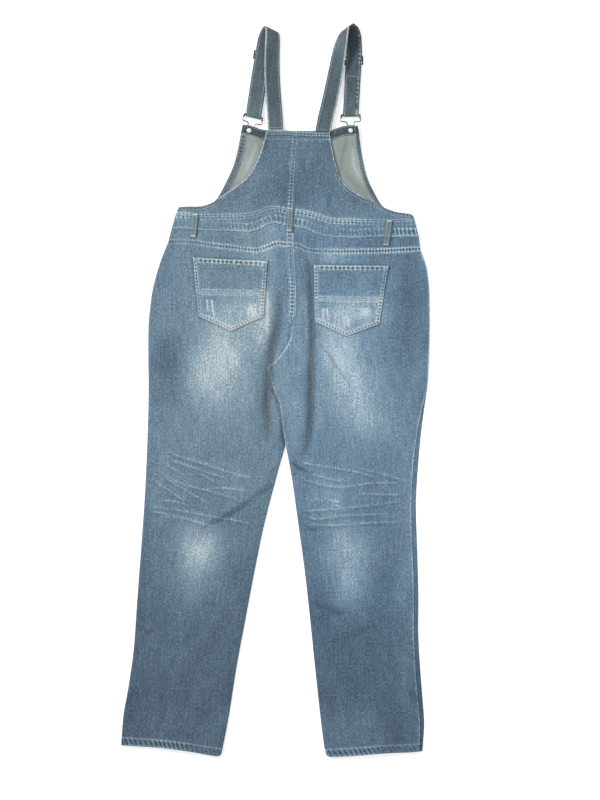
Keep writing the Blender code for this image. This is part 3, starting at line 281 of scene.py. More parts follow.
# Straps: left and right edge at each station, as the solids have them
LEFT_STRAP = [
    Station(-15.4, 507.5, 6.9, 15.8, 508.0, 6.6), Station(-17.0, 536.0, 6.6, 14.2, 538.0, 4.9),
    Station(-20.2, 580.0, 6.9, 10.7, 582.0, 3.2), Station(-22.0, 623.0, 8.8, 8.6, 624.0, 2.6),
    Station(-20.9, 664.0, 11.8, 8.3, 663.0, 2.9), Station(-19.2, 688.0, 13.5, 8.3, 681.0, 4.2),
    Station(-19.0, 703.0, 12.4, 6.9, 692.5, 5.2), Station(-20.6, 709.5, 8.3, 4.6, 697.5, 4.1),
    Station(-24.4, 707.0, 4.8, 2.4, 694.5, 2.2), Station(-30.2, 697.0, 2.3, -2.4, 686.0, 1.4),
    Station(-34.2, 685.0, 1.4, -5.0, 678.0, 1.3), Station(-37.6, 667.0, 3.3, -7.8, 662.0, 3.3),
    Station(-39.8, 655.0, 3.5, -9.6, 651.0, 3.5), Station(-42.4, 640.0, 3.9, -12.2, 636.0, 3.9),
    Station(-48.2, 605.0, 3.9, -17.9, 602.0, 3.9), Station(-53.8, 567.0, 3.9, -23.5, 563.5, 3.9),
    Station(-56.4, 548.0, 5.3, -26.3, 543.6, 5.3),
]
RIGHT_STRAP = [
    Station(77.4, 504.5, 6.3, 108.3, 503.5, 6.3), Station(82.3, 531.5, 4.9, 112.8, 527.0, 6.4),
    Station(90.9, 568.0, 3.4, 121.2, 562.5, 6.9), Station(102.5, 620.0, 2.6, 131.2, 613.5, 10.4),
    Station(113.0, 664.0, 2.9, 137.2, 660.0, 18.0), Station(122.6, 687.0, 4.8, 139.2, 689.0, 22.4),
    Station(127.0, 695.5, 5.6, 143.0, 706.5, 21.6), Station(130.0, 699.5, 4.4, 151.5, 712.4, 16.2),
    Station(133.8, 696.5, 2.4, 161.0, 707.4, 9.8), Station(136.6, 686.0, 1.4, 167.2, 692.5, 3.9),
    Station(137.8, 674.5, 1.4, 168.3, 678.0, 1.7), Station(138.2, 654.5, 3.3, 168.9, 656.0, 3.3),
    Station(137.2, 643.0, 3.5, 167.7, 643.5, 3.5), Station(135.9, 628.0, 3.9, 166.4, 627.5, 3.9),
    Station(134.4, 595.0, 3.9, 164.9, 593.0, 3.9), Station(132.8, 559.0, 3.9, 163.3, 557.0, 3.9),
    Station(131.8, 546.0, 5.2, 162.3, 544.8, 5.2),
]
STRAPS = {"left": LEFT_STRAP, "right": RIGHT_STRAP}
SLIDER_STATION = 12  # the station that the slider stands at
STRAP_TONES_AND_SHADE = {  # by place along the strap from the back bib; the dip just past the fold is painted shade under the raised loop
    "left": [Tone(0, 0.36), Tone(60, 0.3), Tone(190, 0.34), Tone(205, 0.26), Tone(250, 0.28),
             Tone(330, 0.4), Tone(420, 0.38)],
    "right": [Tone(0, 0.32), Tone(60, 0.28), Tone(180, 0.34), Tone(215, 0.16), Tone(262, 0.2),
              Tone(276, 0.26), Tone(330, 0.32), Tone(420, 0.36)],
}
# Rows sewn across a strap: the place along it and the face, 1 for the upper one on the back bib
STRAP_CROSS_ROWS = {"left": [(5, 1)], "right": [(5, 1), (312, -1)]}
STRAP_RUNS = {}  # where each strap lies, kept for its stitches

BUTTONS = {"left": Spot(-51, 506), "right": Spot(146.5, 506)}
BUCKLE_TURN = {"left": -14.0, "right": 0.5}  # degrees, about the button
BUCKLE_HOOKED = {"left": Spot(-1.2, 1.2), "right": Spot(0, 0)}  # where the button stands in its plan
BUCKLE_WIRE = [
    (0, 31), (15.8, 31), (17.7, 29.5), (18.4, 25), (19.3, 20.6), (18.2, 18.4), (15.5, 17.8), (9.8, 17.6),
    (7.2, 16), (6.6, 12.5), (6.4, 8), (5.4, 3), (4.3, -1.5), (2.6, -4), (0, -4.9),
]
BELT_LOOPS = [
    BeltLoop("left", Spot(-156, 344.5), Spot(-160.5, 298)),
    BeltLoop("centre", Spot(29.5, 356), Spot(26.5, 309)),
    BeltLoop("right", Spot(222, 332), Spot(215, 282)),
]

# Places where the outlines turn, for naming a stretch of seam
PLACES = {
    "seat_top": (32.3, 283.3), "crotch_top": (-16, 44), "crotch": (-9.5, 24.5), "left_split": (19, -108),
    "right_split": (20, -108), "left_hem_in": (-113, -712.6), "left_hem_out": (-300.8, -691),
    "right_hem_in": (108, -714.2), "right_hem_out": (280.5, -703.5), "left_hip": (-209, 290),
    "right_hip": (282.6, 276), "front_hem_out": (286.5, -703),
}

VIEW_CENTRE = Spot(47.8, -18.5)

# Mesh steps
GRID = 3.0
COARSE = 12.0  # on an underside
RIM_STEP = 3.0
BAND_STEP = 1.4
RUN_STEP = 6.0
FOLD_STEP = 14.0
LINE_STEP = 8.0
CORNER = 32.0  # degrees, above which an outline turns a corner
KEEP_APART = 1.1  # between the grid's points and those of the creases
THIN = 0.75  # between the creases' own points
INSIDE_ONLY = 2  # the triangulation's output: what the rims enclose


# Sizes and colours that a user would change


def linear(*shade):
    """A colour given as seen on a screen, from 0 to 255, in linear light."""
    return tuple(((c / 255 + 0.055) / 1.055) ** 2.4 for c in shade)


def colour(name, description, *shade):
    return FloatVectorProperty(name=name, description=description, default=linear(*shade),
                               subtype="COLOR", min=0, max=1, size=3)


def number(name, description, default, least=0.0, **settings):
    return FloatProperty(name=name, description=description, default=default, min=least, **settings)


class ClothSettings(bpy.types.PropertyGroup):
    pucker: number("Pucker", "Height of the gathers beside the seams", 0.55)
    ripple: number("Ripple", "Height of the soft waves in the panels", 0.45)
    thread: number("Thread", "Thread diameter in millimetres", 0.95, 0.2)
    pitch: number("Stitch pitch", "Stitch length in millimetres", 3.5, 1)
    gap: number("Stitch gap", "Gap between stitches in millimetres", 0.8, 0.1)


class WashSettings(bpy.types.PropertyGroup):
    unwashed: colour("Unwashed", "Deepest indigo", 46, 62, 80)
    slate: colour("Slate", "Lower legs and straps", 82, 101, 118)
    blue: colour("Blue", "Seat and hips", 104, 129, 147)
    worn: colour("Worn", "Around the thighs and knees", 134, 159, 175)
    faded: colour("Faded", "Middle of the thighs and knees", 160, 182, 192)
    bleached: colour("Bleached", "Seam crests and whiskers", 212, 223, 226)
    inside: colour("Inside", "Wrong side of the cloth", 168, 178, 173)
    thread: colour("Thread", "Topstitching", 206, 216, 221)
    metal: colour("Metal", "Buckles", 126, 119, 112)


class StageSettings(bpy.types.PropertyGroup):
    key: number("Key light", "Power of the key light", 105, unit="POWER")
    fill: number("Fill light", "Power of the fill light", 16, unit="POWER")
    sky: number("Sky", "Strength of the even light from all round", 0.42)
    glow: number("Floor glow", "How far the floor lights itself", 0.5)
    height: number("Camera height", "Camera's height over the floor", 4, 0.1, unit="LENGTH")
    view: number("View", "Length of floor that the picture's height takes in", 1.56, 0.1, unit="LENGTH")


# Curves and outlines


def smooth_run(points, step):
    """Points about a step apart along a smooth curve through the given ones, ends included."""
    p = np.array([tuple(point) for point in points], float)
    ends = np.vstack([2 * p[0] - p[1], p, 2 * p[-1] - p[-2]])
    run = [p[0]]
    for a, b, c, d in zip(ends, ends[1:], ends[2:], ends[3:]):
        parts = max(1, round(float(np.linalg.norm((c - b)[:2])) / step))
        for t in np.linspace(0, 1, parts + 1)[1:]:
            bend = (2 * a - 5 * b + 4 * c - d) * t * t + (3 * b - a - 3 * c + d) * t**3
            run.append(0.5 * (2 * b + (c - a) * t + bend))
    return np.array(run)


def outline_of(node):
    """A node's longest rim in plan, anticlockwise: the edges of its upward faces with no partner."""
    mesh = frame["nodes"][node].data
    spots = np.array([vert.co[:2] for vert in mesh.vertices]) / MM
    places, same = np.unique(np.round(spots, 2), axis=0, return_inverse=True)
    same = same.reshape(-1)
    sides = set()
    for face in mesh.polygons:
        if face.normal.z > 0.05:
            ids = [int(same[i]) for i in face.vertices]
            sides.update(zip(ids, ids[1:] + ids[:1]))
    follow = {a: b for a, b in sides if (b, a) not in sides}
    best = []
    while follow:
        first = min(follow)
        loop, now = [first], follow.pop(first)
        while now != first and now in follow:
            loop.append(now)
            now = follow.pop(now)
        if len(loop) > len(best):
            best = loop
    return places[best]


OUTLINES = {
    name: outline_of(name)
    for name in frame["nodes"]
    if name.startswith(("back_", "front_", "bib_top"))
}


def stretch(loop, first, last):
    """The loop's points from one index to another, going round past its end if need be."""
    count = last + 1 if last > first else last + 1 + len(loop)
    return loop[np.arange(first, count) % len(loop)]


def seam(node, first, last):
    """A smooth run along a node's outline, anticlockwise from near one place to near another."""
    loop = OUTLINES[node]
    ends = [np.array(PLACES[place] if isinstance(place, str) else place, float) for place in (first, last)]
    a, b = (int(np.argmin(np.linalg.norm(loop - end, axis=1))) for end in ends)
    return smooth_run(stretch(loop, a, b), RUN_STEP)


def fine_outline(node):
    """A node's outline with smooth stretches between its corners."""
    loop = OUTLINES[node]
    ahead = np.roll(loop, -1, axis=0) - loop
    behind = loop - np.roll(loop, 1, axis=0)
    turn = np.arctan2(behind[:, 0] * ahead[:, 1] - behind[:, 1] * ahead[:, 0], (ahead * behind).sum(axis=1))
    corners = np.flatnonzero(np.abs(turn) > radians(CORNER))
    ends = zip(corners, np.roll(corners, -1))
    return np.vstack([smooth_run(stretch(loop, a, b), RIM_STEP)[:-1] for a, b in ends])


def beside(points, run, reach=1e9):
    """Each point's distance to a run, its place along the run, and how far it lies to the run's left."""
    gap = np.full(len(points), 1e9)
    place = np.zeros(len(points))
    left = np.full(len(points), 1e9)
    low, high = run[:, :2].min(axis=0) - reach, run[:, :2].max(axis=0) + reach
    near = np.flatnonzero(((points > low) & (points < high)).all(axis=1))
    p = points[near]
    best, at, side = gap[near], place[near], np.ones(len(near))
    start = 0.0
    for a, b in zip(run[:-1, :2], run[1:, :2]):
        d = b - a
        size = float(np.hypot(*d)) or 1e-9
        t = np.clip((p - a) @ d / size**2, 0, 1)
        away = p - a - t[:, None] * d
        dist = np.hypot(away[:, 0], away[:, 1])
        closer = dist < best
        best = np.where(closer, dist, best)
        at = np.where(closer, start + t * size, at)
        side = np.where(closer, np.where(d[0] * away[:, 1] >= d[1] * away[:, 0], 1.0, -1.0), side)
        start += size
    gap[near], place[near], left[near] = best, at, best * side
    return gap, place, left


def distances(run):
    """How far along a run each of its points lies."""
    return np.concatenate([[0], np.cumsum(np.linalg.norm(np.diff(run, axis=0), axis=1))])


def length_of(run):
    return float(np.linalg.norm(np.diff(run, axis=0), axis=1).sum())


def shifted(run, offset):
    """The run moved to its left."""
    along = np.gradient(run[:, :2], axis=0)
    along /= np.maximum(np.linalg.norm(along, axis=1, keepdims=True), 1e-9)
    return run[:, :2] + np.stack([-along[:, 1], along[:, 0]], axis=1) * offset


def resampled(run, step):
    """The run with points one step apart."""
    run = np.asarray(run, float)
    size = distances(run)
    at = np.linspace(0, size[-1], max(2, int(size[-1] / step) + 1))
    return np.stack([np.interp(at, size, run[:, i]) for i in range(run.shape[1])], axis=1)


def inside(points, loop):
    """Which points lie in the loop."""
    found = np.zeros(len(points), bool)
    x, y = points[:, 0], points[:, 1]
    for a, b in zip(loop, np.roll(loop, -1, axis=0)):
        if a[1] != b[1]:
            crosses = (a[1] > y) != (b[1] > y)
            found ^= crosses & (x < (b[0] - a[0]) * (y - a[1]) / (b[1] - a[1]) + a[0])
    return found


def closed(rim):
    return np.vstack([rim, rim[:1]])


def ease(t):
    t = np.clip(t, 0, 1)
    return t * t * (3 - 2 * t)


def ramp(value, ends):
    """0 at a ramp's first end and 1 at its second, smooth between them."""
    return ease((value - ends[0]) / (ends[1] - ends[0]))


def bell(distance, width):
    """1 in the middle, falling smoothly to almost 0 two widths away."""
    return np.exp(-((distance / width) ** 2))


def table_at(rows, place):
    """A table's second column at places on its first."""
    return np.interp(place, *zip(*rows))


def level(height):
    return lambda p: np.full(len(p), float(height))


def plus(base, amount):
    return lambda p: base(p) + amount


# Seams, each a run along an outline

SEAT = seam("back_leg_right", "seat_top", "crotch_top")
JOIN = seam("back_leg_right", "crotch_top", "crotch")
RIGHT_LAP = seam("back_leg_right", "crotch", "right_split")
RIGHT_INSEAM = seam("back_leg_right", "right_split", "right_hem_in")
RIGHT_HEM = seam("back_leg_right", "right_hem_in", "right_hem_out")
RIGHT_OUTSEAM = seam("back_leg_right", "right_hem_out", "right_hip")
RIGHT_YOKE = seam("back_leg_right", "right_hip", "seat_top")
LEFT_OUTSEAM = seam("back_leg_left", "left_hip", "left_hem_out")
LEFT_HEM = seam("back_leg_left", "left_hem_out", "left_hem_in")
LEFT_INSEAM = seam("back_leg_left", "left_hem_in", "left_split")
LEFT_UNDERLAP = seam("back_leg_left", "left_split", "crotch")
LEFT_YOKE = seam("back_leg_left", "seat_top", "left_hip")
BAND_FOOT = seam("back_waistband", (-202.5, 315.5), (279.3, 299.5))
BAND_HEAD = seam("back_waistband", (271.2, 331.5), (-194, 345))
LEFT_ARMHOLE = seam("back_bib_left", (-17.5, 505.5), (-184, 358.2))
RIGHT_ARMHOLE = seam("back_bib_right", (260, 344.6), (105.7, 503))
BIB_CENTRE = seam("back_bib_left", (32.5, 350.3), (43.3, 505))
BIB_TOP = np.vstack([
    seam("back_bib_right", (105.7, 503), (43.3, 505)), seam("back_bib_left", (43.3, 505), (-17.5, 505.5)),
])
FRONT_LEFT_HEM = seam("front_leg_left", "left_hem_out", "left_hem_in")
FRONT_RIGHT_HEM = seam("front_leg_right", "right_hem_in", "front_hem_out")
FRONT_BIB_TOP = seam("front_bib", (161, 515), (-64, 517.5))
FRONT_ARM_LEFT = seam("front_bib", (-64, 517.5), (-190, 349))
FRONT_ARM_RIGHT = seam("front_bib", (268.6, 337), (161, 515))
LEFT_PRESSED = [LEFT_OUTSEAM, LEFT_INSEAM, LEFT_UNDERLAP, JOIN]
RIGHT_PRESSED = [RIGHT_OUTSEAM, RIGHT_INSEAM, RIGHT_LAP, JOIN]
BODICE_PRESSED = [
    np.array([PLACES["left_hip"], (-202.5, 315.5), (-194, 345), (-191.4, 352.4), (-188.3, 356.8),
              (-184, 358.2)]),
    np.array([PLACES["right_hip"], (279.3, 299.5), (271.2, 331.5), (270, 336.8), (268, 340.8),
              (260, 344.6)]),
]


# The cloth's height

LARGE_RUNS = [(fold, smooth_run(fold.points, FOLD_STEP)) for fold in LARGE_FOLDS]
CREASE_RUNS = [(fold, smooth_run(fold.points, FOLD_STEP)) for fold in CREASES]
WHISKER_RUNS = [smooth_run(line, LINE_STEP) for line in WHISKERS]
RUB_RUNS = [(rub, smooth_run(rub.points, LINE_STEP)) for rub in RUBS]
WAVES = [  # length in millimetres, heading in degrees, phase and share of the ripple
    (210, 78, 0.3, 0.5), (155, 100, 1.9, 0.42), (118, 62, 4.1, 0.3), (92, 118, 2.7, 0.26), (71, 85, 5.2, 0.2),
    (56, 40, 0.9, 0.14), (47, 140, 3.3, 0.13), (38, 95, 1.2, 0.1),
]


def bib_lift(p):
    """How far the buttons and buckles lift the front bib."""
    lift = np.zeros(len(p))
    for button in BUTTONS.values():
        away = np.maximum(np.linalg.norm(p - np.array(button), axis=1) - LIFT_FLAT, 0)
        lift = np.maximum(lift, LIFTED * bell(away, LIFT_SPREAD))
    return lift


def folds_at(p, folds):
    """Height that a list of folds gives, and the darkness of their troughs: partly less worn cloth and partly
    painted shade.
    """
    height, dark = np.zeros(len(p)), np.zeros(len(p))
    for fold, run in folds:
        gap, place, _ = beside(p, run, fold.half_width * 3)
        shape = np.interp(place, distances(run[:, :2]), run[:, 2]) * bell(gap, fold.half_width)
        height += shape
        deep = np.clip(-shape, 0, None) / max(np.abs(run[:, 2]))
        dark += fold.dark * np.clip(1.5 * deep**1.3, 0, 1)
    return height, dark


def ripple(p):
    """Soft uneven waves of laid cloth."""
    total = np.zeros(len(p))
    for length, heading, phase, share in WAVES:
        way = np.array([cos(radians(heading)), sin(radians(heading))])
        total += share * np.sin(2 * pi * (p @ way) / length + phase + 0.8 * np.sin(p[:, 1] / 57 + phase))
    return total


def stand_off(p, pressed):
    """How far the back layer stands off the front one, down to nothing at the pressed seams."""
    near = np.min([beside(p, run)[0] for run in pressed], axis=0)
    rise = 1 - np.exp(-near / SEAM_ROUND)
    return np.maximum((table_at(LOFT, p[:, 1]) + folds_at(p, LARGE_RUNS)[0]) * rise, 0)


def support(p):
    """The front layer's upper side, with its double hem and waistband."""
    doubled = FOLDED - WALL
    hem = doubled * (1 - ramp(p[:, 1], HEM_RAMP))
    upper = (doubled + SEAM_GAP) * ramp(p[:, 1], WAIST_RAMP)
    return WALL + SEAM_GAP + hem + upper + bib_lift(p)


def left_under(p):
    return support(p) + stand_off(p, LEFT_PRESSED + BODICE_PRESSED)


def right_under(p):
    """The right leg's underside, which laps over the left leg below the crotch."""
    own = support(p) + stand_off(p, RIGHT_PRESSED + BODICE_PRESSED)
    below_crotch = ramp(p[:, 1], (PLACES["crotch_top"][1], PLACES["crotch"][1]))
    over = below_crotch * ramp(p[:, 1], LAP_FOOT) * (1 - ramp(p[:, 0], LAP_SIDE))
    lap = left_under(p) + (WALL + SEAM_GAP + LAP_CLEAR) * over
    return np.where(over > 0, np.maximum(own, lap), own)


UNDER = {"left": left_under, "right": right_under}


def lowest(under, p):
    """A height's least value close round each place."""
    turns = np.linspace(0, 2 * pi, 9)[:-1]
    return np.min([under(p)] + [under(p + UNDER_REACH * np.array([cos(a), sin(a)])) for a in turns], axis=0)


# Wash, wear and painted shade


def tone_at(p):
    """How bleached the cloth is at each place."""
    tone = table_at(TONES, p[:, 1])
    for fade in FADES:
        turn = radians(fade.turn)
        x, y = p[:, 0] - fade.x, p[:, 1] - fade.y
        u = (x * cos(turn) + y * sin(turn)) / fade.across
        v = (y * cos(turn) - x * sin(turn)) / fade.along
        tone += fade.gain * np.exp(-1.1 * (u * u + v * v))
    side = beside(p, LEFT_OUTSEAM, SIDE_REACH)[0]
    return tone - SIDE_DARK * bell(side, SIDE_REACH / 2)


def cool_at(p):
    """How blue the cloth is: most on the seat and the right leg, and least on the bib."""
    left, thigh, shin = CAST
    cool = left + ramp(p[:, 0], CAST_SIDE) * (thigh - (thigh - shin) * ramp(p[:, 1], CAST_KNEE))
    return cool * (1 - 0.75 * ramp(p[:, 1], CAST_WAIST))


def streak_at(p, run, half_width, reach):
    """How strongly a streak along a run shows, and a painted shadow a little below it."""
    gap, place, left = beside(p, run, reach)
    ends = ease(place / 16) * ease((length_of(run) - place) / 16) * (gap < reach)
    fade = 0.82 + 0.18 * np.sin(place / 13 + run[0, 0])
    shade = bell(left + 2.1 * half_width, half_width)
    return bell(gap, half_width) * ends * fade, shade * ends * fade


def whiskers_at(p):
    """Wear of the lines across the knees, and the painted shadow below each."""
    worn, deep = np.zeros(len(p)), np.zeros(len(p))
    for run in WHISKER_RUNS:
        crest, foot = streak_at(p, run, WHISKER_WIDTH, WHISKER_REACH)
        worn, deep = np.maximum(worn, crest), np.maximum(deep, foot)
    return worn, deep


def rubs_at(p):
    """Wear of the rubbed streaks, and the darkness of the dark ones, partly less worn cloth and partly
    painted shade.
    """
    light, dark = np.zeros(len(p)), np.zeros(len(p))
    for rub, run in RUB_RUNS:
        shape, _ = streak_at(p, run, rub.half_width, 3 * rub.half_width)
        light, dark = np.maximum(light, rub.light * shape), np.maximum(dark, rub.dark * shape)
    return light, dark


def band_at(p, band, pucker):
    """Height, wear and darkness of a sewn band beside a seam."""
    reach = max(abs(band.near), abs(band.far)) + 4
    _, place, left = beside(p, band.run, reach)
    inner, outer = sorted((band.near, band.far))
    share = band.first + (band.last - band.first) * ease(place / length_of(band.run[:, :2]))
    on = ease((left - inner + 1) / 1.6) * ease((outer + 1 - left) / 1.6)
    uneven = 0.9 * np.sin(place / 31 + band.period) + 0.7 * np.sin(place / 13 + 1.3 * band.period)
    wave = np.cos(2 * pi * (place + band.slant * left) / band.period + uneven)
    change = 0.4 * np.sin(place / 47 + 2.1 * band.period) + 0.25 * np.sin(place / 19 + band.period)
    strength = share * np.clip(0.75 + change, 0.3, 1.15)
    middle = bell(left - (inner + outer) / 2, 0.33 * (outer - inner))
    margin = bell(left - inner - 1.2, 1.0) + bell(left - outer + 1.2, 1.0)
    height = on * band.lift + on * band.pucker * pucker * wave * middle * strength
    light = band.light * strength * (0.75 * margin + 0.6 * on * np.clip(wave, 0, 1))
    dark = band.dark * strength * middle * on * np.clip((-wave - 0.1) / 0.6, 0, 1)
    return height, light, dark


def line_at(p, line):
    """Wear and darkness of a plain line beside a seam."""
    _, place, left = beside(p, line.run, abs(line.offset) + 3 * line.half_width + 2)
    shape = bell(left - line.offset, line.half_width) * (0.8 + 0.2 * np.sin(place / 17))
    return line.light * shape, line.dark * shape


# Meshes


def free_of(points, others, radius):
    """Which points have none of the others within about a radius."""
    cells = np.unique(np.round(others / radius).astype(int), axis=0)
    taken = {(a + i, b + j) for a, b in map(tuple, cells) for i in (-1, 0, 1) for j in (-1, 0, 1)}
    return np.array([(a, b) not in taken for a, b in map(tuple, np.round(points / radius).astype(int))], bool)


def thinned(points, radius):
    """The points less those that lie within the radius of an earlier one."""
    cells, kept = {}, []
    for x, y in points:
        a, b = int(x // radius), int(y // radius)
        near = (spot for i in (-1, 0, 1) for j in (-1, 0, 1) for spot in cells.get((a + i, b + j), ()))
        if all((x - u) ** 2 + (y - v) ** 2 > radius * radius for u, v in near):
            cells.setdefault((a, b), []).append((x, y))
            kept.append((x, y))
    return np.array(kept).reshape(-1, 2)


def rim_edges(rims):
    """The rims' edges as pairs of point numbers, with the points counted from rim to rim."""
    edges, start = [], 0
    for rim in rims:
        count = len(rim)
        edges += [(start + i, start + (i + 1) % count) for i in range(count)]
        start += count
    return edges


def triangles(rims, inner):
    """All points in plan and the triangles between them, within the first rim and outside the others."""
    spots = [Vector(p) for p in np.vstack([*rims, inner])]
    coords, _, faces, *_ = delaunay_2d_cdt(spots, rim_edges(rims), [], INSIDE_ONLY, 1e-4)
    coords, faces = np.array([(c.x, c.y) for c in coords]), np.array([tuple(face) for face in faces])
    for hole in rims[1:]:
        faces = faces[~inside(coords[faces].mean(axis=1), hole)]
    return coords, faces


def grid_in(rims, step, free):
    """Points on a grid within the first rim and outside the others, clear of them all."""
    low, high = rims[0].min(axis=0), rims[0].max(axis=0)
    xs = np.arange(low[0] + step / 2, high[0], step)
    ys = np.arange(low[1] + step / 2, high[1], step)
    points = np.stack(np.meshgrid(xs, ys), axis=-1).reshape(-1, 2)
    return within(points, rims, free)


def within(points, rims, free):
    points = points[inside(points, rims[0])]
    for hole in rims[1:]:
        points = points[~inside(points, hole)]
    for rim in rims:
        points = points[beside(points, closed(rim), 4 * free)[0] > free]
    return points


def mesh_object(name, points, faces, looks, kinds=None, colours=None, grain=None, sharp=50.0):
    """A piece from points in millimetres, with its wash, wear and painted shade as an attribute and its grain
    as a UV map.
    """
    mesh = bpy.data.meshes.new(name)
    mesh.from_pydata((np.asarray(points) * MM).tolist(), [], [tuple(map(int, face)) for face in faces])
    for look in looks:
        mesh.materials.append(look)
    if kinds is not None:
        mesh.polygons.foreach_set("material_index", np.asarray(kinds, np.int32))
    if colours is not None:
        # The wash attribute: tone, wear and soft painted light, darkness that is partly painted shade, and
        # blueness
        wash = mesh.color_attributes.new("wash", "FLOAT_COLOR", "POINT")
        wash.data.foreach_set("color", np.asarray(colours, np.float32).reshape(-1))
    if grain is not None:
        layer = mesh.uv_layers.new(name="grain")
        corners = np.empty(len(mesh.loops), np.int32)
        mesh.loops.foreach_get("vertex_index", corners)
        layer.data.foreach_set("uv", (np.asarray(grain)[corners] * MM).astype(np.float32).reshape(-1))
    mesh.update()
    mesh.shade_smooth()
    mesh.set_sharp_from_angle(angle=radians(sharp))
    made = bpy.data.objects.new(name, mesh)
    bpy.context.scene.collection.objects.link(made)
    return made


def wash_and_shade_colours(tone, light, dark, cool):
    return np.clip(np.stack([tone, light, dark, cool], axis=1), 0, 1)


def dense_lines(bands, lines, folded):
    """Lines of points that carry the seams' gathers and the cloth's creases."""
    found = []
    for band in bands:
        count = max(3, int(abs(band.far - band.near) / 1.7) + 2)
        along = resampled(band.run[:, :2], BAND_STEP)
        found += [shifted(along, offset) for offset in np.linspace(band.near, band.far, count)]
    rows = [(line.run, line.offset, line.half_width, (-1, 0, 1)) for line in lines]
    if folded:
        rows += [(run, 0, WHISKER_WIDTH, (-2.8, -1.8, -0.9, 0, 0.9, 1.8)) for run in WHISKER_RUNS]
        rows += [(run, 0, rub.half_width, (-1, 0, 1)) for rub, run in RUB_RUNS]
        rows += [(run, 0, fold.half_width, (-1, -0.5, 0, 0.5, 1)) for fold, run in CREASE_RUNS]
    for run, offset, half_width, sides in rows:
        along = resampled(run[:, :2], RIM_STEP)
        found += [shifted(along, offset + side * half_width) for side in sides]
    return found


def dense_points(rims, bands, lines, hems, folded):
    """Points on those lines, beside the rims and along the hems' edges, none too close to another."""
    found = dense_lines(bands, lines, folded)
    found += [shifted(closed(rim), offset) for rim in rims for offset in (1.1, 3.2)]
    for run, depth in hems:
        found += [shifted(resampled(run[:, :2], RIM_STEP), depth + side) for side in (-0.5, 0.5)]
    return thinned(within(np.vstack(found), rims, 0.6), THIN)


def underside(rims):
    """A coarse panel in plan, finer across the large folds."""
    trace = [shifted(resampled(run[:, :2], COARSE), side * fold.half_width)
             for fold, run in LARGE_RUNS for side in (-1.6, -0.8, 0, 0.8, 1.6)]
    trace = thinned(within(np.vstack(trace), rims, COARSE / 4), COARSE / 4)
    coarse = grid_in(rims, COARSE, COARSE / 4)
    if len(trace):
        coarse = np.vstack([trace, coarse[free_of(coarse, trace, COARSE / 3)]])
    return triangles(rims, coarse)


def relief(p, height, bands, lines, hems, folded):
    """The height with a panel's hems, gathers and creases, and the wear and darkness that they bring, the
    darkness partly painted shade.
    """
    pucker = bpy.context.scene.dungarees_cloth.pucker
    for run, depth in hems:
        height = height + (FOLDED - WALL) * ease(depth + 0.5 - beside(p, run)[0])
    marks = [band_at(p, band, pucker) for band in bands] + [(0, *line_at(p, line)) for line in lines]
    if folded:
        worn, deep = whiskers_at(p)
        creased = folds_at(p, CREASE_RUNS)[0] + WHISKER_RIDGE * worn
        marks.append((creased, WHISKER_WEAR * worn, WHISKER_SHADOW * deep))
        marks += [(0, 0, folds_at(p, LARGE_RUNS + CREASE_RUNS)[1]), (0, *rubs_at(p))]
    light, dark = np.zeros(len(p)), np.zeros(len(p))
    for lift, worn, deep in marks:
        height = height + lift
        light, dark = np.maximum(light, worn), np.maximum(dark, deep)
    return height, light, dark


def cloth(name, node, under, thick, looks, bands=(), lines=(), hems=(), folded=False, grain_at=None,
          holes=(), step=GRID, tone=0.0, wave=1.0, turned=None, edge_look=0):
    """A thin closed shell on a panel's solid: fine above, coarse below, with its seams and creases.

    looks are its finishes: the first for its upper side and the last for its underside. turned says
    which upper faces are turned in and show the second one, and edge_look is the one on its edges.
    """
    rims = [fine_outline(node), *holes]
    dense = dense_points(rims, bands, lines, hems, folded)
    grid = grid_in(rims, step, 0.4 * step)
    flat, faces = triangles(rims, np.vstack([dense, grid[free_of(grid, dense, KEEP_APART)]]))
    below, below_faces = underside(rims)

    base = under(flat)
    edge = np.min([beside(flat, closed(rim), 12)[0] for rim in rims], axis=0)
    waves = wave * bpy.context.scene.dungarees_cloth.ripple * ripple(flat) * (1 - np.exp(-edge / 6))
    height, light, dark = relief(flat, base + thick + waves, bands, lines, hems, folded)
    height = np.maximum(height - EDGE_DROP * bell(edge, EDGE_ROUND), base + LEAST_THICK)
    sunk = lowest(under, below) - UNDER_CLEAR if folded else under(below)
    plain = np.zeros(len(below))
    wash_and_shade_layers = [wash_and_shade_colours(tone_at(flat) + tone, light, dark, cool_at(flat)),
              wash_and_shade_colours(tone_at(below) + tone, plain, plain, plain)]

    start = len(flat)
    walls = [(b, a, a + start, b + start) for a, b in rim_edges(rims)]
    all_faces = faces.tolist() + (below_faces[:, ::-1] + start).tolist() + walls
    kinds = [0] * len(faces) + [len(looks) - 1] * len(below_faces) + [edge_look] * len(walls)
    if turned is not None:
        kinds[: len(faces)] = turned(flat[faces].mean(axis=1)).astype(int).tolist()
    points = np.vstack([np.column_stack([flat, height]), np.column_stack([below, np.maximum(sunk, 0)])])
    grain = points[:, :2] if grain_at is None else grain_at(points[:, :2])
    made = mesh_object(name, points, all_faces, looks, kinds, np.vstack(wash_and_shade_layers), grain)
    declare(made, node)


def declare(made, node):
    """Put a panel in the frame in place of its solid."""
    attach(made, "root")
    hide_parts(node)


def top_of(*pieces):
    """The upper side of made pieces as a height, from straight above."""
    trees = []
    for piece in pieces:
        spots = np.empty(len(piece.data.vertices) * 3)
        piece.data.vertices.foreach_get("co", spots)
        spots = (spots.reshape(-1, 3) / MM).tolist()
        trees.append(BVHTree.FromPolygons(spots, [tuple(face.vertices) for face in piece.data.polygons]))
    start, down = 200.0, Vector((0, 0, -1))

    def height(p):
        found = []
        for x, y in p:
            hits = [tree.ray_cast(Vector((x, y, start)), down)[0] for tree in trees]
            found.append(max([hit.z for hit in hits if hit], default=0.0))
        return np.array(found)

    return height


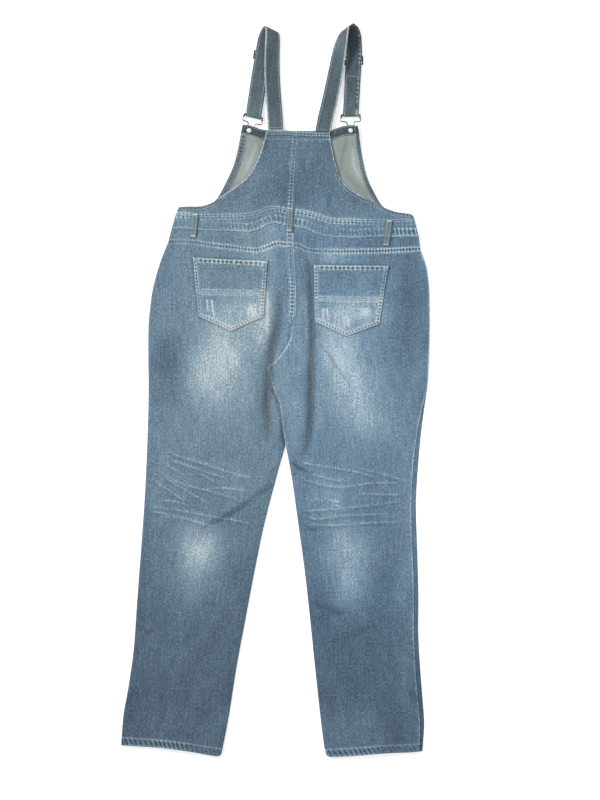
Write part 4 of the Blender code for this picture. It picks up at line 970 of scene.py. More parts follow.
def ribbon(name, node, left, right, size, relief_at, tones, columns):
    """A strip between two edges in space, with rounded sides and both faces finished.

    size is its width and its thickness. The edges give its middle and how it lies, which it returns.
    """
    middle, across = (left + right) / 2, right - left
    across = across / np.linalg.norm(across, axis=1, keepdims=True)
    normal = np.cross(across, np.gradient(middle, axis=0))
    normal /= np.linalg.norm(normal, axis=1, keepdims=True)
    place = distances(middle)
    half, thick = size[0] / 2, size[1]
    inner = np.linspace(-half + 0.9, half - 0.9, columns)
    offsets = np.concatenate([[-half, -half + 0.3], inner, [half - 0.3, half]])
    full = np.concatenate([[0, 0.7], np.ones(columns), [0.7, 0]])
    ring = [(w, f, -1) for w, f in zip(offsets, full)]
    ring += [(w, f, 1) for w, f in zip(offsets[-2:0:-1], full[-2:0:-1])]
    points, colours, grain = [], [], []
    for w, share, side in ring:
        lift, light, dark = relief_at(place, w, side, half)
        rise = side * share * (thick / 2 + lift)
        points.append(middle + across * w + normal * rise[:, None])
        colours.append(wash_and_shade_colours(tones(place), light, dark, np.zeros(len(place))))
        grain.append(np.column_stack([np.full(len(place), w + (60 if side > 0 else 0)), place]))
    count, total = len(ring), len(place)
    spots = np.stack(points, axis=1).reshape(-1, 3)
    faces = []
    for i in range(total - 1):
        for j in range(count):
            a, b = i * count + j, i * count + (j + 1) % count
            faces.append((a, a + count, b + count, b))
    faces += [tuple(range(count)), tuple(reversed(range((total - 1) * count, total * count)))]
    shape = mesh_object(name, spots, faces, [finish("strap denim")], None,
                        np.stack(colours, axis=1).reshape(-1, 4), np.stack(grain, axis=1).reshape(-1, 2))
    turn_outwards(shape)
    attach(shape, "root")
    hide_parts(node)
    return place, middle, across, normal


def turn_outwards(piece):
    """Faces of a closed mesh turned to point out, decided by its signed volume."""
    mesh = piece.data
    volume = 0.0
    for face in mesh.polygons:
        corners = [mesh.vertices[i].co for i in face.vertices]
        for b, c in zip(corners[1:], corners[2:]):
            volume += corners[0].dot(b.cross(c))
    if volume < 0:
        mesh.flip_normals()


# Sewing


def threads(name, runs, radius, pitch, gap, look, slot="denim"):
    """Stitches along runs on the cloth, each a short thread that dips in at both ends.

    A run is points in space and the cloth's outward direction at each of them.
    """
    spots, faces = [], []
    ring = [(1, 0), (0, 1), (-1, 0), (0, -1)]
    for points, normals in runs:
        points, normals = np.asarray(points, float), np.asarray(normals, float)
        size = distances(points)
        for begin in np.arange(0, size[-1] - pitch * 0.5, pitch):
            at = np.array([begin, begin + (pitch - gap) / 2, begin + pitch - gap])
            p, n = (np.stack([np.interp(at, size, rows[:, i]) for i in range(3)], axis=1)
                    for rows in (points, normals))
            way = p[2] - p[0]
            way /= max(np.linalg.norm(way), 1e-9)
            for k, (share, rise) in enumerate(((0.45, -0.12), (1.0, 0.28), (0.45, -0.12))):
                up = n[k] / np.linalg.norm(n[k])
                out = np.cross(way, up)
                out /= max(np.linalg.norm(out), 1e-9)
                centre = p[k] + up * rise
                centre[2] = max(centre[2], radius)
                spots += [centre + radius * share * (out * a + up * b) for a, b in ring]
            base = len(spots) - 12
            for k in (base, base + 4):
                faces += [(k + 4 + i, k + 4 + (i + 1) % 4, k + (i + 1) % 4, k + i) for i in range(4)]
            faces += [(base, base + 1, base + 2, base + 3), (base + 11, base + 10, base + 9, base + 8)]
    made = mesh_object(name, spots, faces, [look], sharp=80)
    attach(made, "root")
    return made


def laid(run, height, rise=0.0):
    """A run in plan brought onto the cloth, with its outward directions."""
    flat = resampled(run[:, :2], 1.7)
    z = height(flat)
    flat, z = flat[z > WALL], z[z > WALL]
    points = np.column_stack([flat, z + rise])
    return points, np.tile((0.0, 0.0, 1.0), (len(points), 1))


# Finishes

# How much the red, green and blue change where the cloth is coolest, and where it is darkest: in the folds
# and beside the raised seams, partly less worn cloth and partly painted shade
COOL_SHARES = (-0.075, 0.022, 0.149)
FOLD_SHADES = (-0.58, -0.63, -0.67)


class Finish:
    """A material's node tree, with a short call for each kind of node that the finishes share."""

    def __init__(self, name, roughness=0.9, metallic=0.0, sheen=0.0, specular=0.25):
        self.material = bpy.data.materials.new(name)
        self.material.use_nodes = True
        self.tree = self.material.node_tree
        self.shader = self.tree.nodes["Principled BSDF"]
        self.shader.inputs["Roughness"].default_value = roughness
        self.shader.inputs["Metallic"].default_value = metallic
        self.shader.inputs["Sheen Weight"].default_value = sheen
        self.shader.inputs["Specular IOR Level"].default_value = specular

    def node(self, kind, **settings):
        made = self.tree.nodes.new("ShaderNode" + kind)
        for key, value in settings.items():
            setattr(made, key, value)
        return made

    def put(self, socket, value):
        if isinstance(value, bpy.types.NodeSocket):
            self.tree.links.new(value, socket)
        else:
            socket.default_value = value

    def math(self, operation, *values):
        made = self.node("Math", operation=operation)
        for socket, value in zip(made.inputs, values):
            self.put(socket, value)
        return made.outputs[0]

    def scaled(self, vector, *scale):
        made = self.node("Mapping")
        self.put(made.inputs["Vector"], vector)
        made.inputs["Scale"].default_value = scale
        return made.outputs[0]

    def noise(self, vector, scale, detail=2.0, roughness=0.55):
        made = self.node("TexNoise")
        self.put(made.inputs["Vector"], self.scaled(vector, *scale))
        made.inputs["Scale"].default_value = 1.0
        made.inputs["Detail"].default_value = detail
        made.inputs["Roughness"].default_value = roughness
        return made.outputs["Fac"]

    def swing(self, value, amount):
        """A noise from 0 to 1 as a swing about 0."""
        return self.math("MULTIPLY_ADD", value, 2.0 * amount, -amount)

    def total(self, first, *rest):
        for value in rest:
            first = self.math("ADD", first, value)
        return first

    def stripes(self, vector, way, period):
        """Sine stripes across a direction, the period in metres."""
        made = self.node("VectorMath", operation="DOT_PRODUCT")
        self.put(made.inputs[0], vector)
        made.inputs[1].default_value = tuple(c * 2 * pi / period for c in way)
        return self.math("SINE", made.outputs["Value"])

    def ramp(self, value, stops):
        made = self.node("ValToRGB")
        while len(made.color_ramp.elements) < len(stops):
            made.color_ramp.elements.new(0.5)
        for element, (place, shade) in zip(made.color_ramp.elements, stops):
            element.position = place
            element.color = (*shade, 1)
        self.put(made.inputs[0], value)
        return made.outputs[0]

    def mix(self, share, a, b, blend="MIX"):
        made = self.node("Mix", data_type="RGBA", blend_type=blend)
        self.put(made.inputs[0], share)
        for socket, value in ((made.inputs[6], a), (made.inputs[7], b)):
            self.put(socket, value if isinstance(value, bpy.types.NodeSocket) else (*value, 1))
        return made.outputs[2]

    def bump(self, height, distance, strength):
        made = self.node("Bump")
        made.inputs["Strength"].default_value = strength
        made.inputs["Distance"].default_value = distance
        self.put(made.inputs["Height"], height)
        self.put(self.shader.inputs["Normal"], made.outputs[0])

    def colour(self, socket):
        self.put(self.shader.inputs["Base Color"], socket)


def denim_finish(name, stops, streak, speckle):
    """Twill with uneven warp yarns: its wash, wear, creases and painted shade come from the cloth's own
    attribute.

    stops are its colours from unwashed to bleached. streak and speckle are how uneven its yarns are.
    """
    f = Finish(name, roughness=0.92, sheen=0.12)
    mark = f.node("Attribute", attribute_name="wash")
    wash = f.node("SeparateColor")
    f.put(wash.inputs[0], mark.outputs["Color"])
    tone, light, dark = wash.outputs
    grain = f.node("UVMap", uv_map="grain").outputs[0]
    fine = f.noise(grain, (420, 230, 1), 2.0, 0.6)
    slub = f.noise(grain, (300, 26, 1), 2.0, 0.5)
    cloud = f.noise(grain, (26, 13, 1), 2.0, 0.5)
    mottle = f.noise(grain, (95, 60, 1), 1.0, 0.5)
    grit = f.noise(grain, (620, 540, 1), 1.0, 0.6)
    hue = f.noise(grain, (60, 34, 7), 1.0, 0.5)
    twill = f.stripes(grain, (0.62, 0.78, 0), 0.0011)
    worn = f.math("MULTIPLY_ADD", tone, 1.1, 0.35)
    # The light channel: wear, and the soft painted light on the front bib's wrong side
    worn_and_lit = f.math("MULTIPLY", light, f.math("MULTIPLY_ADD", fine, 1.4, 0.1))
    value = f.total(
        tone, f.swing(fine, streak), f.swing(slub, 0.38 * streak), f.swing(cloud, 0.1), f.swing(mottle, 0.07),
        f.math("MULTIPLY", f.swing(grit, speckle), worn), f.math("MULTIPLY", twill, 0.012),
        f.math("MULTIPLY", worn_and_lit, 0.75),
    )
    shade = f.ramp(value, stops)
    cool = f.math("ADD", mark.outputs["Alpha"], f.swing(hue, 0.45))
    cast = f.node("CombineColor")
    for socket, share, deep in zip(cast.inputs, COOL_SHARES, FOLD_SHADES):
        shaded = f.math("MULTIPLY_ADD", dark, deep, 1.0)
        f.put(socket, f.math("MULTIPLY", shaded, f.math("MULTIPLY_ADD", cool, share, 1.0)))
    f.colour(f.mix(1.0, shade, cast.outputs[0], "MULTIPLY"))
    f.bump(f.total(f.math("MULTIPLY", twill, 0.5), f.swing(fine, 0.8), f.swing(grit, 0.5)), 0.00025, 0.9)
    return f.material


def thread_finish(name, shade):
    """Spun thread: a light twist and a little wash colour."""
    f = Finish(name, roughness=0.85, sheen=0.1)
    place = f.node("TexCoord").outputs["Object"]
    patch = f.noise(place, (60, 60, 60), 1.0)
    twist = f.stripes(place, (0.7, 0.7, 0), 0.0009)
    f.colour(f.ramp(patch, [(0.35, tuple(c * 0.72 for c in shade)), (0.62, shade)]))
    f.bump(twist, 0.00008, 0.6)
    return f.material


def metal_finish(name, bright, tarnish, amount, roughness, metallic=1.0):
    """Plated metal, tarnished in patches."""
    f = Finish(name, roughness=roughness, metallic=metallic, specular=0.5)
    place = f.node("TexCoord").outputs["Object"]
    patch = f.noise(place, (260, 260, 260), 3.0, 0.6)
    f.colour(f.ramp(patch, [(max(0.05, amount - 0.12), tarnish), (amount + 0.12, bright)]))
    f.bump(f.noise(place, (900, 900, 900), 2.0), 0.00005, 0.5)
    return f.material


def greyed(shade):
    """A strap's colour: less blue than the panels."""
    middle = sum(shade) / 3
    return tuple((middle + (c - middle) * 0.62) * share for c, share in zip(shade, (0.9, 0.98, 0.94)))


FINISHES = {}


def finish(name):
    """A finish by name, made when it is first asked for."""
    w = bpy.context.scene.dungarees_wash
    outer = [(0.0, w.unwashed), (0.3, w.slate), (0.5, w.blue), (0.7, w.worn), (0.85, w.faded),
             (1.0, w.bleached)]
    inner = [(0.15, tuple(c * 0.6 for c in w.inside)), (0.55, w.inside), (1.0, w.bleached)]
    grey = [(place, greyed(shade)) for place, shade in outer]
    tack = linear(246, 248, 248), linear(226, 228, 228)
    makers = {
        "denim": lambda: denim_finish(name, outer, 0.44, 0.26),
        "strap denim": lambda: denim_finish(name, grey, 0.32, 0.16),
        "denim wrong side": lambda: denim_finish(name, inner, 0.16, 0.12),
        "thread": lambda: thread_finish(name, w.thread),
        "white yarn": lambda: thread_finish(name, linear(250, 252, 252)),
        "wire metal": lambda: metal_finish(name, w.metal, linear(120, 96, 84), 0.42, 0.32),
        "dark metal": lambda: metal_finish(name, linear(120, 104, 96), linear(52, 42, 40), 0.55, 0.45),
        "tack metal": lambda: metal_finish(name, *tack, 0.3, 0.3, 0.3),
    }
    if name not in FINISHES:
        FINISHES[name] = makers[name]()
    return FINISHES[name]


# Grain: how each panel's warp runs


LEG_MIDDLES = {
    "left": [(-122, 300), (-118, 60), (-116, -108), (-140, -260), (-168, -470), (-201, -705)],
    "right": [(152, 300), (148, 60), (148, -108), (154, -260), (168, -470), (190, -705)],
}


def leg_grain(side):
    """Warp that follows the leg's middle."""
    rows = smooth_run(LEG_MIDDLES[side], 20.0)[::-1]

    def grain(p):
        middle = np.interp(p[:, 1], rows[:, 1], rows[:, 0])
        return np.column_stack([p[:, 0] - middle + (0 if side == "left" else 900), p[:, 1]])

    return grain


def straight_grain(shift):
    """Straight warp, shifted so that no two panels share their yarns."""
    return lambda p: np.column_stack([p[:, 0] + shift, p[:, 1]])


# Seams' gathers: beside each seam, on the piece to its left where the offsets are positive


def extended(run, before, after):
    """The run with a straight piece added at its start and its end."""
    first, last = run[0] - run[1], run[-1] - run[-2]
    start = run[0] + first * before / np.linalg.norm(first)
    return np.vstack([start, run, run[-1] + last * after / np.linalg.norm(last)])


def part(run, low, high=999):
    """The part of a run that lies between two heights in plan."""
    return run[(run[:, 1] > low) & (run[:, 1] < high)]


YOKE_SEAT = seam("back_yoke_right", (32.4, 319.5), "seat_top")
UPPER_SEAT = np.vstack([YOKE_SEAT[:-1], part(SEAT, 137)])
LOWER_SEAT = part(SEAT, 0, 137)
LEFT_ARM_FOOT = part(LEFT_ARMHOLE, 0, 405)
RIGHT_ARM_FOOT = part(RIGHT_ARMHOLE, 0, 425)
YOKE_BANDS = [
    Band(LEFT_YOKE, -5, 5, 0.5, 1.0, 6.0, 0.8, 0.9),
    Band(RIGHT_YOKE, -5, 5, 0.5, 1.0, 6.0, 0.95, 1.0, 0.0, 1.3, 1.2),
]
SEAT_BAND = Band(UPPER_SEAT, -10, 0, 0.7, 0.7, 7.6, 0.85, 0.85)
HEM_BANDS = {
    "left": Band(extended(LEFT_HEM, 0, 12), 0.5, 16, 0.2, 1.5, 9.2, 0.7, 0.85, 0.5),
    "right": Band(extended(RIGHT_HEM, 12, 0), 0.5, 16, 0.2, 1.6, 9.8, 0.75, 0.85, 0.55),
}
WAIST_BANDS = [
    Band(BAND_HEAD, 0.5, 8.5, 0.0, 0.9, 7.8, 0.75, 0.85, 0.0, 1.0, 0.8),
    Band(BAND_FOOT, 2, 17, 0.0, 1.1, 7.8, 0.7, 0.65, 0.2, 0.45, 1.15),
]
BIB_FOOT_BANDS = [
    Band(BAND_HEAD, -4, 0, 0.2, 0.5, 7.8, 0.7, 0.4),
    Band(BIB_TOP, 9.5, 17, 0, 0.3, 6.6, 0.15, 0.3),
]
ARM_BANDS = [
    Band(LEFT_ARMHOLE, 1, 7, 0.3, 0.4, 6.4, 0.2, 0.5, 0.0, 0.35, 1.2),
    Band(RIGHT_ARMHOLE, 1, 7, 0.3, 0.4, 6.4, 0.25, 0.6, 0.0, 1.3, 0.35),
    # At the armholes' feet the dark dashes along the edge are painted shadows of the threads
    Band(LEFT_ARM_FOOT, -0.5, 5, 0.0, 0.3, 7.5, 0.1, 1.0, 0.0, 0.6, 1.3),
    Band(RIGHT_ARM_FOOT, -0.5, 5, 0.0, 0.3, 7.0, 0.1, 1.2, 0.0, 1.4, 0.9),
]
CENTRE_BAND = Band(BIB_CENTRE, 0, 9, 0.6, 0.55, 6.6, 0.7, 0.6)

# Worn seam crests, and the painted shade beside the raised seams
OUTSEAM_LINES = [Line(RIGHT_OUTSEAM, 1.2, 1.3, 0.7, 0.0), Line(LEFT_OUTSEAM, 1.0, 1.2, 0.18, 0.0)]
ARM_LINES = [Line(part(run, 372), 0.7, 1.3, 1.0, 0.0) for run in (LEFT_ARMHOLE, RIGHT_ARMHOLE)]
ARM_LINES += [Line(run, 4.6, 2.4, 0.0, 0.35) for run in (LEFT_ARMHOLE, RIGHT_ARMHOLE)]
SEAT_LINES = [
    Line(np.vstack([YOKE_SEAT[:-1], SEAT]), 0.7, 1.0, 0.75, 0.0),
    Line(UPPER_SEAT, 3.2, 1.5, 0.0, 0.5),
    Line(LOWER_SEAT, -2.4, 2.0, 0.0, 0.5),
]
CENTRE_LINE, WAIST_LINE = (Line(run, 0.6, 1.1, 0.8, 0.0) for run in (BIB_CENTRE, BAND_FOOT))
# Painted shadow of the right leg's lapped edge on the left leg, and in the gap between them
LAP_SHADOWS = [
    Line(part(RIGHT_LAP, -48, 50), -3.5, 4.0, 0.0, 0.8),
    Line(part(RIGHT_LAP, -110, -58), -3.2, 3.4, 0.0, 1.0),
]
LAP_EDGE = Line(RIGHT_LAP, 1.0, 1.1, 0.35, 0.0)
INNER_LINES = [  # on the front bib's wrong side: shade under the armholes' edges, creases and soft light
    Line(RIGHT_ARMHOLE, -15, 9, 0, 0.3), Line(part(RIGHT_ARMHOLE, 420), -3, 2.5, 0, 0.5),
    Line(LEFT_ARMHOLE, -5, 5, 0, 0.22),
]
INNER_LINES += [
    Line(np.array(run), 0, 4.0, light, dark)
    for light, dark, run in (
        (0.0, 0.45, [(137.5, 492), (130, 455), (124, 418)]),
        (0.45, 0.0, [(150, 470), (153, 440), (172, 395)]),
        (0.3, 0.0, [(-36, 480), (-52, 440), (-74, 400)]),
        (0.0, 0.2, [(-60, 470), (-84, 420), (-110, 385)]),
    )
]


def near(run, reach):
    """A test for points within reach of a run."""
    return lambda p: beside(p, run, reach + 5)[0] < reach


def clear_of(run, other, gap):
    """The part of a run that is further than a gap from another."""
    return run[beside(run[:, :2], other)[0] > gap]


def button_hole(side):
    """The hole for the button's post, clockwise."""
    turn = np.linspace(0, -2 * pi, 17)[:-1]
    reach = POST_RADIUS + POST_CLEARANCE
    return np.array(BUTTONS[side]) + reach * np.stack([np.cos(turn), np.sin(turn)], axis=1)


def piece(name):
    return bpy.data.objects[name]


def pocket_sides(side):
    """A pocket's left side, foot, right side and top, each as a run."""
    corners = POCKETS[side]
    return corners[:2], corners[1:4], corners[3:5], corners[[4, 0]]


# Pieces


class DUNGAREES_OT_front(bpy.types.Operator):
    """Lay the front legs, waistband and bib with their wrong side up."""

    bl_idname = "dungarees.front"
    bl_label = "Front layer"

    def execute(self, context):
        wrong, right, facing = finish("denim wrong side"), finish("denim"), finish("strap denim")
        for side, hem in (("left", FRONT_LEFT_HEM), ("right", FRONT_RIGHT_HEM)):
            node = f"front_leg_{side}"
            cloth(f"{node}_cloth", node, level(0), WALL, [wrong, right], hems=[(hem, HEM_DEPTH)],
                  grain_at=leg_grain(side), step=7.0, tone=-0.1, wave=0.0,
                  turned=near(closed(OUTLINES[node]), 14), edge_look=1)
        cloth("front_waistband_cloth", "front_waistband", level(0), FOLDED, [right], step=7.0, wave=0.0)
        arms = [clear_of(run, FRONT_BIB_TOP, FACING_DEPTH + FACING_CLEAR)
                for run in (FRONT_ARM_LEFT, FRONT_ARM_RIGHT)]
        hems = list(zip(arms, SIDE_HEMS))
        holes = [button_hole(side) for side in BUTTONS]
        cloth("front_bib_cloth", "front_bib", bib_lift, WALL, [wrong, facing],
              [Band(run, 0.5, depth, 0.0, 0.7, 6.8, 0.35, 0.75) for run, depth in hems], INNER_LINES, hems,
              holes=holes, step=4.0, wave=0.6, edge_look=1,
              turned=lambda p: np.any([beside(p, run)[0] < depth for run, depth in hems], axis=0))
        lines = [Line(FRONT_BIB_TOP, FACING_DEPTH - 1.6, 1.2, 0.7, 0)]
        # Dark rings painted round the tacks, as their shade on the facing
        for button, hole in zip(BUTTONS.values(), holes):
            lines.append(Line(closed(2 * hole - np.array(button)), 0, 1.3, 0, 1))
        cloth("bib_top_facing_cloth", "bib_top_facing", plus(bib_lift, WALL + LAID_GAP), FACING_THICK,
              [facing], [Band(FRONT_BIB_TOP, 1, 8, 0.0, 0.5, 7.0, 0.3, 0.4)], lines, holes=holes,
              step=3.0, wave=0.6, tone=-0.26)
        return {"FINISHED"}


class DUNGAREES_OT_legs(bpy.types.Operator):
    """Lay the back legs over the front ones, with their creases, hems and wear."""

    bl_idname = "dungarees.legs"
    bl_label = "Back legs"

    def execute(self, context):
        looks = [finish("denim"), finish("denim wrong side")]
        for side, hem, seat, lap in (
            ("left", LEFT_HEM, [SEAT_BAND], LAP_SHADOWS), ("right", RIGHT_HEM, [], [LAP_EDGE]),
        ):
            # A dark line painted just outside the pocket, as its shade on the leg
            pocket = Line(closed(POCKETS[side]), -1.0, 1.5, 0.0, 0.65)
            cloth(f"back_leg_{side}_cloth", f"back_leg_{side}", UNDER[side], WALL, looks,
                  [*YOKE_BANDS, HEM_BANDS[side], *seat], [*SEAT_LINES, *OUTSEAM_LINES, *lap, pocket],
                  [(hem, HEM_DEPTH)], folded=True, grain_at=leg_grain(side))
        return {"FINISHED"}


class DUNGAREES_OT_bodice(bpy.types.Operator):
    """Lay the yoke, waistband and back bib."""

    bl_idname = "dungarees.bodice"
    bl_label = "Yoke, waistband and back bib"

    def execute(self, context):
        looks = [finish("denim"), finish("denim wrong side")]
        for side, seat, centre, shift in (("left", [SEAT_BAND], [CENTRE_BAND], 500), ("right", [], [], 1500)):
            cloth(f"back_yoke_{side}_cloth", f"back_yoke_{side}", UNDER[side], WALL, looks,
                  YOKE_BANDS + seat, SEAT_LINES[:2], folded=True, grain_at=leg_grain(side), step=2.6)
            cloth(f"back_bib_{side}_cloth", f"back_bib_{side}", left_under, WALL, looks,
                  ARM_BANDS + BIB_FOOT_BANDS + centre, [*ARM_LINES, CENTRE_LINE], folded=True,
                  grain_at=straight_grain(shift), step=2.8)
        cloth("back_waistband_cloth", "back_waistband", left_under, FOLDED, looks[:1], WAIST_BANDS,
              [WAIST_LINE], folded=True, grain_at=straight_grain(2500), step=2.6)
        cloth("back_bib_top_hem_cloth", "back_bib_top_hem", plus(left_under, WALL + LAID_GAP), WALL, looks,
              [Band(BIB_TOP, 1, 8.5, 0.0, 0.6, 6.6, 0.6, 0.7)], ARM_LINES, grain_at=straight_grain(3100),
              step=2.6, tone=-0.02)
        return {"FINISHED"}


class DUNGAREES_OT_pockets(bpy.types.Operator):
    """Lay the back pockets on the legs that carry them."""

    bl_idname = "dungarees.pockets"
    bl_label = "Back pockets"

    def execute(self, context):
        looks = [finish("denim"), finish("denim wrong side")]
        for side, shift in (("left", 4000), ("right", 4700)):
            below = plus(top_of(piece(f"back_leg_{side}_cloth")), SEAM_GAP)
            first, foot, last, top = pocket_sides(side)
            bands = [
                Band(first, 0.5, 8, 0, 0.5, 6.5, 0.5, 0.7),
                Band(foot, 0.5, 8, 0, 1.0, 6.0, 0.8, 1.1, 0.5),
                Band(last, 0.5, 8, 0, 0.5, 6.5, 0.6, 0.9),
                Band(top, 1, POCKET_HEM, 0, 0.8, 9.0, 0.8, 1.1),
            ]
            lines = [Line(row, 0, 1.1, 0.55, 0) for row in POCKET_ROWS[side]]
            lines += [Line(top, 0.8, 1.2, 0.6, 0), *(Line(row, 0, 1.0, 0.7, 0) for row in NICKS[side])]
            cloth(f"back_pocket_{side}_cloth", f"back_pocket_{side}", below, WALL, looks, bands, lines,
                  [(top, POCKET_HEM)], grain_at=straight_grain(shift), step=2.6, wave=0.0)
        return {"FINISHED"}


class DUNGAREES_OT_belt_loops(bpy.types.Operator):
    """Sew on the belt loops, flat at both ends and arched over the waistband."""

    bl_idname = "dungarees.belt_loops"
    bl_label = "Belt loops"

    def execute(self, context):
        names = ["waistband"] + [f"{part}_{side}" for part in ("leg", "yoke", "bib") for side in BUTTONS]
        below = top_of(*[piece(f"back_{name}_cloth") for name in names])
        around = [(a, b) for a in (-1, -0.5, 0, 0.5, 1) for b in (-2, 0, 2)]
        for row in BELT_LOOPS:
            head, foot = np.array(row.head, float), np.array(row.foot, float)
            along = (foot - head) / np.linalg.norm(foot - head)
            across = np.array([-along[1], along[0]]) * LOOP_WIDTH / 2
            left, right = [], []
            for t in np.linspace(0, 1, 31):
                middle = head + (foot - head) * t
                spots = np.array([middle + across * a + along * b for a, b in around])
                z = float(below(spots).max()) + 0.2 + LOOP_THICK / 2 + LOOP_ARCH * sin(pi * t) ** 0.5
                left.append((*(middle - across), z))
                right.append((*(middle + across), z))
            ribbon(f"belt_loop_{row.name}_cloth", f"belt_loop_{row.name}", np.array(left), np.array(right),
                   (LOOP_WIDTH, LOOP_THICK), loop_relief, level(LOOP_TONE), 9)
        return {"FINISHED"}


def loop_relief(place, w, side, half):
    """A belt loop's two sewn edges and the hollow between them."""
    wave = np.cos(2 * pi * place / 6.2 + w * 0.4)
    row = bell(abs(w) - half + 1.9, 0.9)
    middle = bell(w, 1.6)
    ends = bell(place, 2.5) + bell(place - place[-1], 3.0)
    light = 0.5 * row * (0.7 + 0.3 * wave) + 0.9 * ends
    dark = 0.45 * middle * np.clip(-wave, 0, 1) + 0.2 * middle
    return 0.12 * wave * middle - 0.15 * middle, light * (side > 0), dark * (side > 0)


def strap_path(side):
    """Both edges of the strap, from the back bib over the fold, round the buckle's bar to the slider."""
    path = smooth_run(STRAPS[side], 4.0)
    half = STRAP_WIDTH / 2
    bar = [np.array([*buckle_place(side, x, BUCKLE_WIRE[0][1]), BAR_HEIGHT]) for x in (-half, half)]
    down = buckle_place(side, 0, 0) - buckle_place(side, 0, 1)
    reach = WIRE / 2 + SEAM_GAP + STRAP_THICK / 2
    turn = [np.array([*(down * reach * sin(a)), reach * cos(a)]) for a in np.linspace(0, pi, 13)]
    low = max(STRAP_THICK / 2, BAR_HEIGHT - reach)
    middle, way = slider_place(side)
    stop = middle + np.array([way[1], -way[0]]) * (SLIDER_SIZE[1] / 2 + LAID_GAP)
    bar_way = (bar[1] - bar[0])[:2] / STRAP_WIDTH
    start = (bar[0] + bar[1])[:2] / 2
    tab = [(start + (stop - start) * t, bar_way + (way - bar_way) * t) for t in np.linspace(0.1, 1, 14)]
    ends = []
    for edge, corner, offset in ((path[:, :3], bar[0], -half), (path[:, 3:], bar[1], half)):
        back = [np.array([*(middle + across * offset), low]) for middle, across in tab]
        ends.append(np.vstack([edge, [corner + shift for shift in turn], back]))
    return ends


def slider_place(side):
    """The slider's middle and its direction across the strap, in plan."""
    row = STRAPS[side][SLIDER_STATION]
    left, right = np.array([row.left_x, row.left_y]), np.array([row.right_x, row.right_y])
    return (left + right) / 2, (right - left) / np.linalg.norm(right - left)


def buckle_place(side, x, y):
    """A point of the buckle's own plan, turned about the button and put in place."""
    turn = radians(BUCKLE_TURN[side])
    centre, hooked = BUTTONS[side], BUCKLE_HOOKED[side]
    x, y = x - hooked.x, y - hooked.y
    return np.array([centre.x + x * cos(turn) - y * sin(turn), centre.y + x * sin(turn) + y * cos(turn)])


def strap_relief(edge_light):
    """A strap's sewn edges: a row beside each, a light fold where it is worn, and a slight hollow."""

    def relief_at(place, w, side, half):
        wave = np.cos(2 * pi * place / 8.4 + 0.7 * np.sin(place / 23) + (1.5 if w > 0 else 0))
        crest, trough = np.clip(wave, 0, 1), np.clip(-wave, 0, 1)
        row = bell(abs(w) - half + STRAP_ROW, 1.5)
        light = 0.42 * row * (0.6 + 0.4 * wave)
        dark = 0.35 * row * trough + 0.2 * np.clip(np.sin(1.3 * w + 1.1 * side), 0, 1)
        if side < 0 and min(w, edge_light) > 0:
            ladder = bell(w - half + 4.6, 2.0)
            light, dark = light + 0.9 * ladder * crest, dark + 0.8 * ladder * trough
        if side > 0 and edge_light * w > half - 2.7:
            light, dark = np.full(len(place), 1.0), np.zeros(len(place))
        return 0.16 * wave * row - 0.25 * bell(abs(w) - half + STRAP_ROW, 1.0), light, dark

    return relief_at


def strap_tones_and_shade(side_name):
    """How bleached a strap is at each place along it, with painted shade just past the fold."""
    return lambda place: table_at(STRAP_TONES_AND_SHADE[side_name], place) + 0.02 * np.sin(place / 29)


class DUNGAREES_OT_straps(bpy.types.Operator):
    """Lay the shoulder straps, folded over at the shoulder and turned round the buckles' bars."""

    bl_idname = "dungarees.straps"
    bl_label = "Shoulder straps"

    def execute(self, context):
        for side, edge_light in (("left", -1), ("right", 1)):
            STRAP_RUNS[side] = ribbon(
                f"strap_{side}_cloth", f"strap_{side}", *strap_path(side), (STRAP_WIDTH, STRAP_THICK),
                strap_relief(edge_light), strap_tones_and_shade(side), 29,
            )
        return {"FINISHED"}


# Fittings


def select_only(*made):
    bpy.ops.object.select_all(action="DESELECT")
    for item in made:
        item.select_set(True)
    bpy.context.view_layer.objects.active = made[0]


def new_primitive(name, add, **settings):
    """A primitive added alone, under its name, with its place in its mesh."""
    bpy.ops.object.select_all(action="DESELECT")
    add(**settings)
    made = bpy.context.active_object
    made.name = name
    bpy.ops.object.transform_apply(location=True, rotation=True, scale=True)
    return made


def close_edit():
    """Turn all faces outwards and leave edit mode."""
    bpy.ops.mesh.select_all(action="SELECT")
    bpy.ops.mesh.normals_make_consistent(inside=False)
    bpy.ops.object.mode_set(mode="OBJECT")


def placed(made, centre, turn):
    """Move a mesh from the origin to its place, in millimetres and degrees."""
    made.rotation_euler.z = radians(turn)
    made.location = Vector((*centre, 0)) * MM
    select_only(made)
    bpy.ops.object.transform_apply(location=True, rotation=True, scale=True)


def shaded(made, look, sharp):
    """Give a piece its finish, smooth but for edges above an angle in degrees."""
    made.data.materials.clear()
    made.data.materials.append(look)
    made.data.shade_smooth()
    made.data.set_sharp_from_angle(angle=radians(sharp))


def fitted(made, node):
    """Put a piece in the frame in place of its solid."""
    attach(made, "root")
    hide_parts(node)


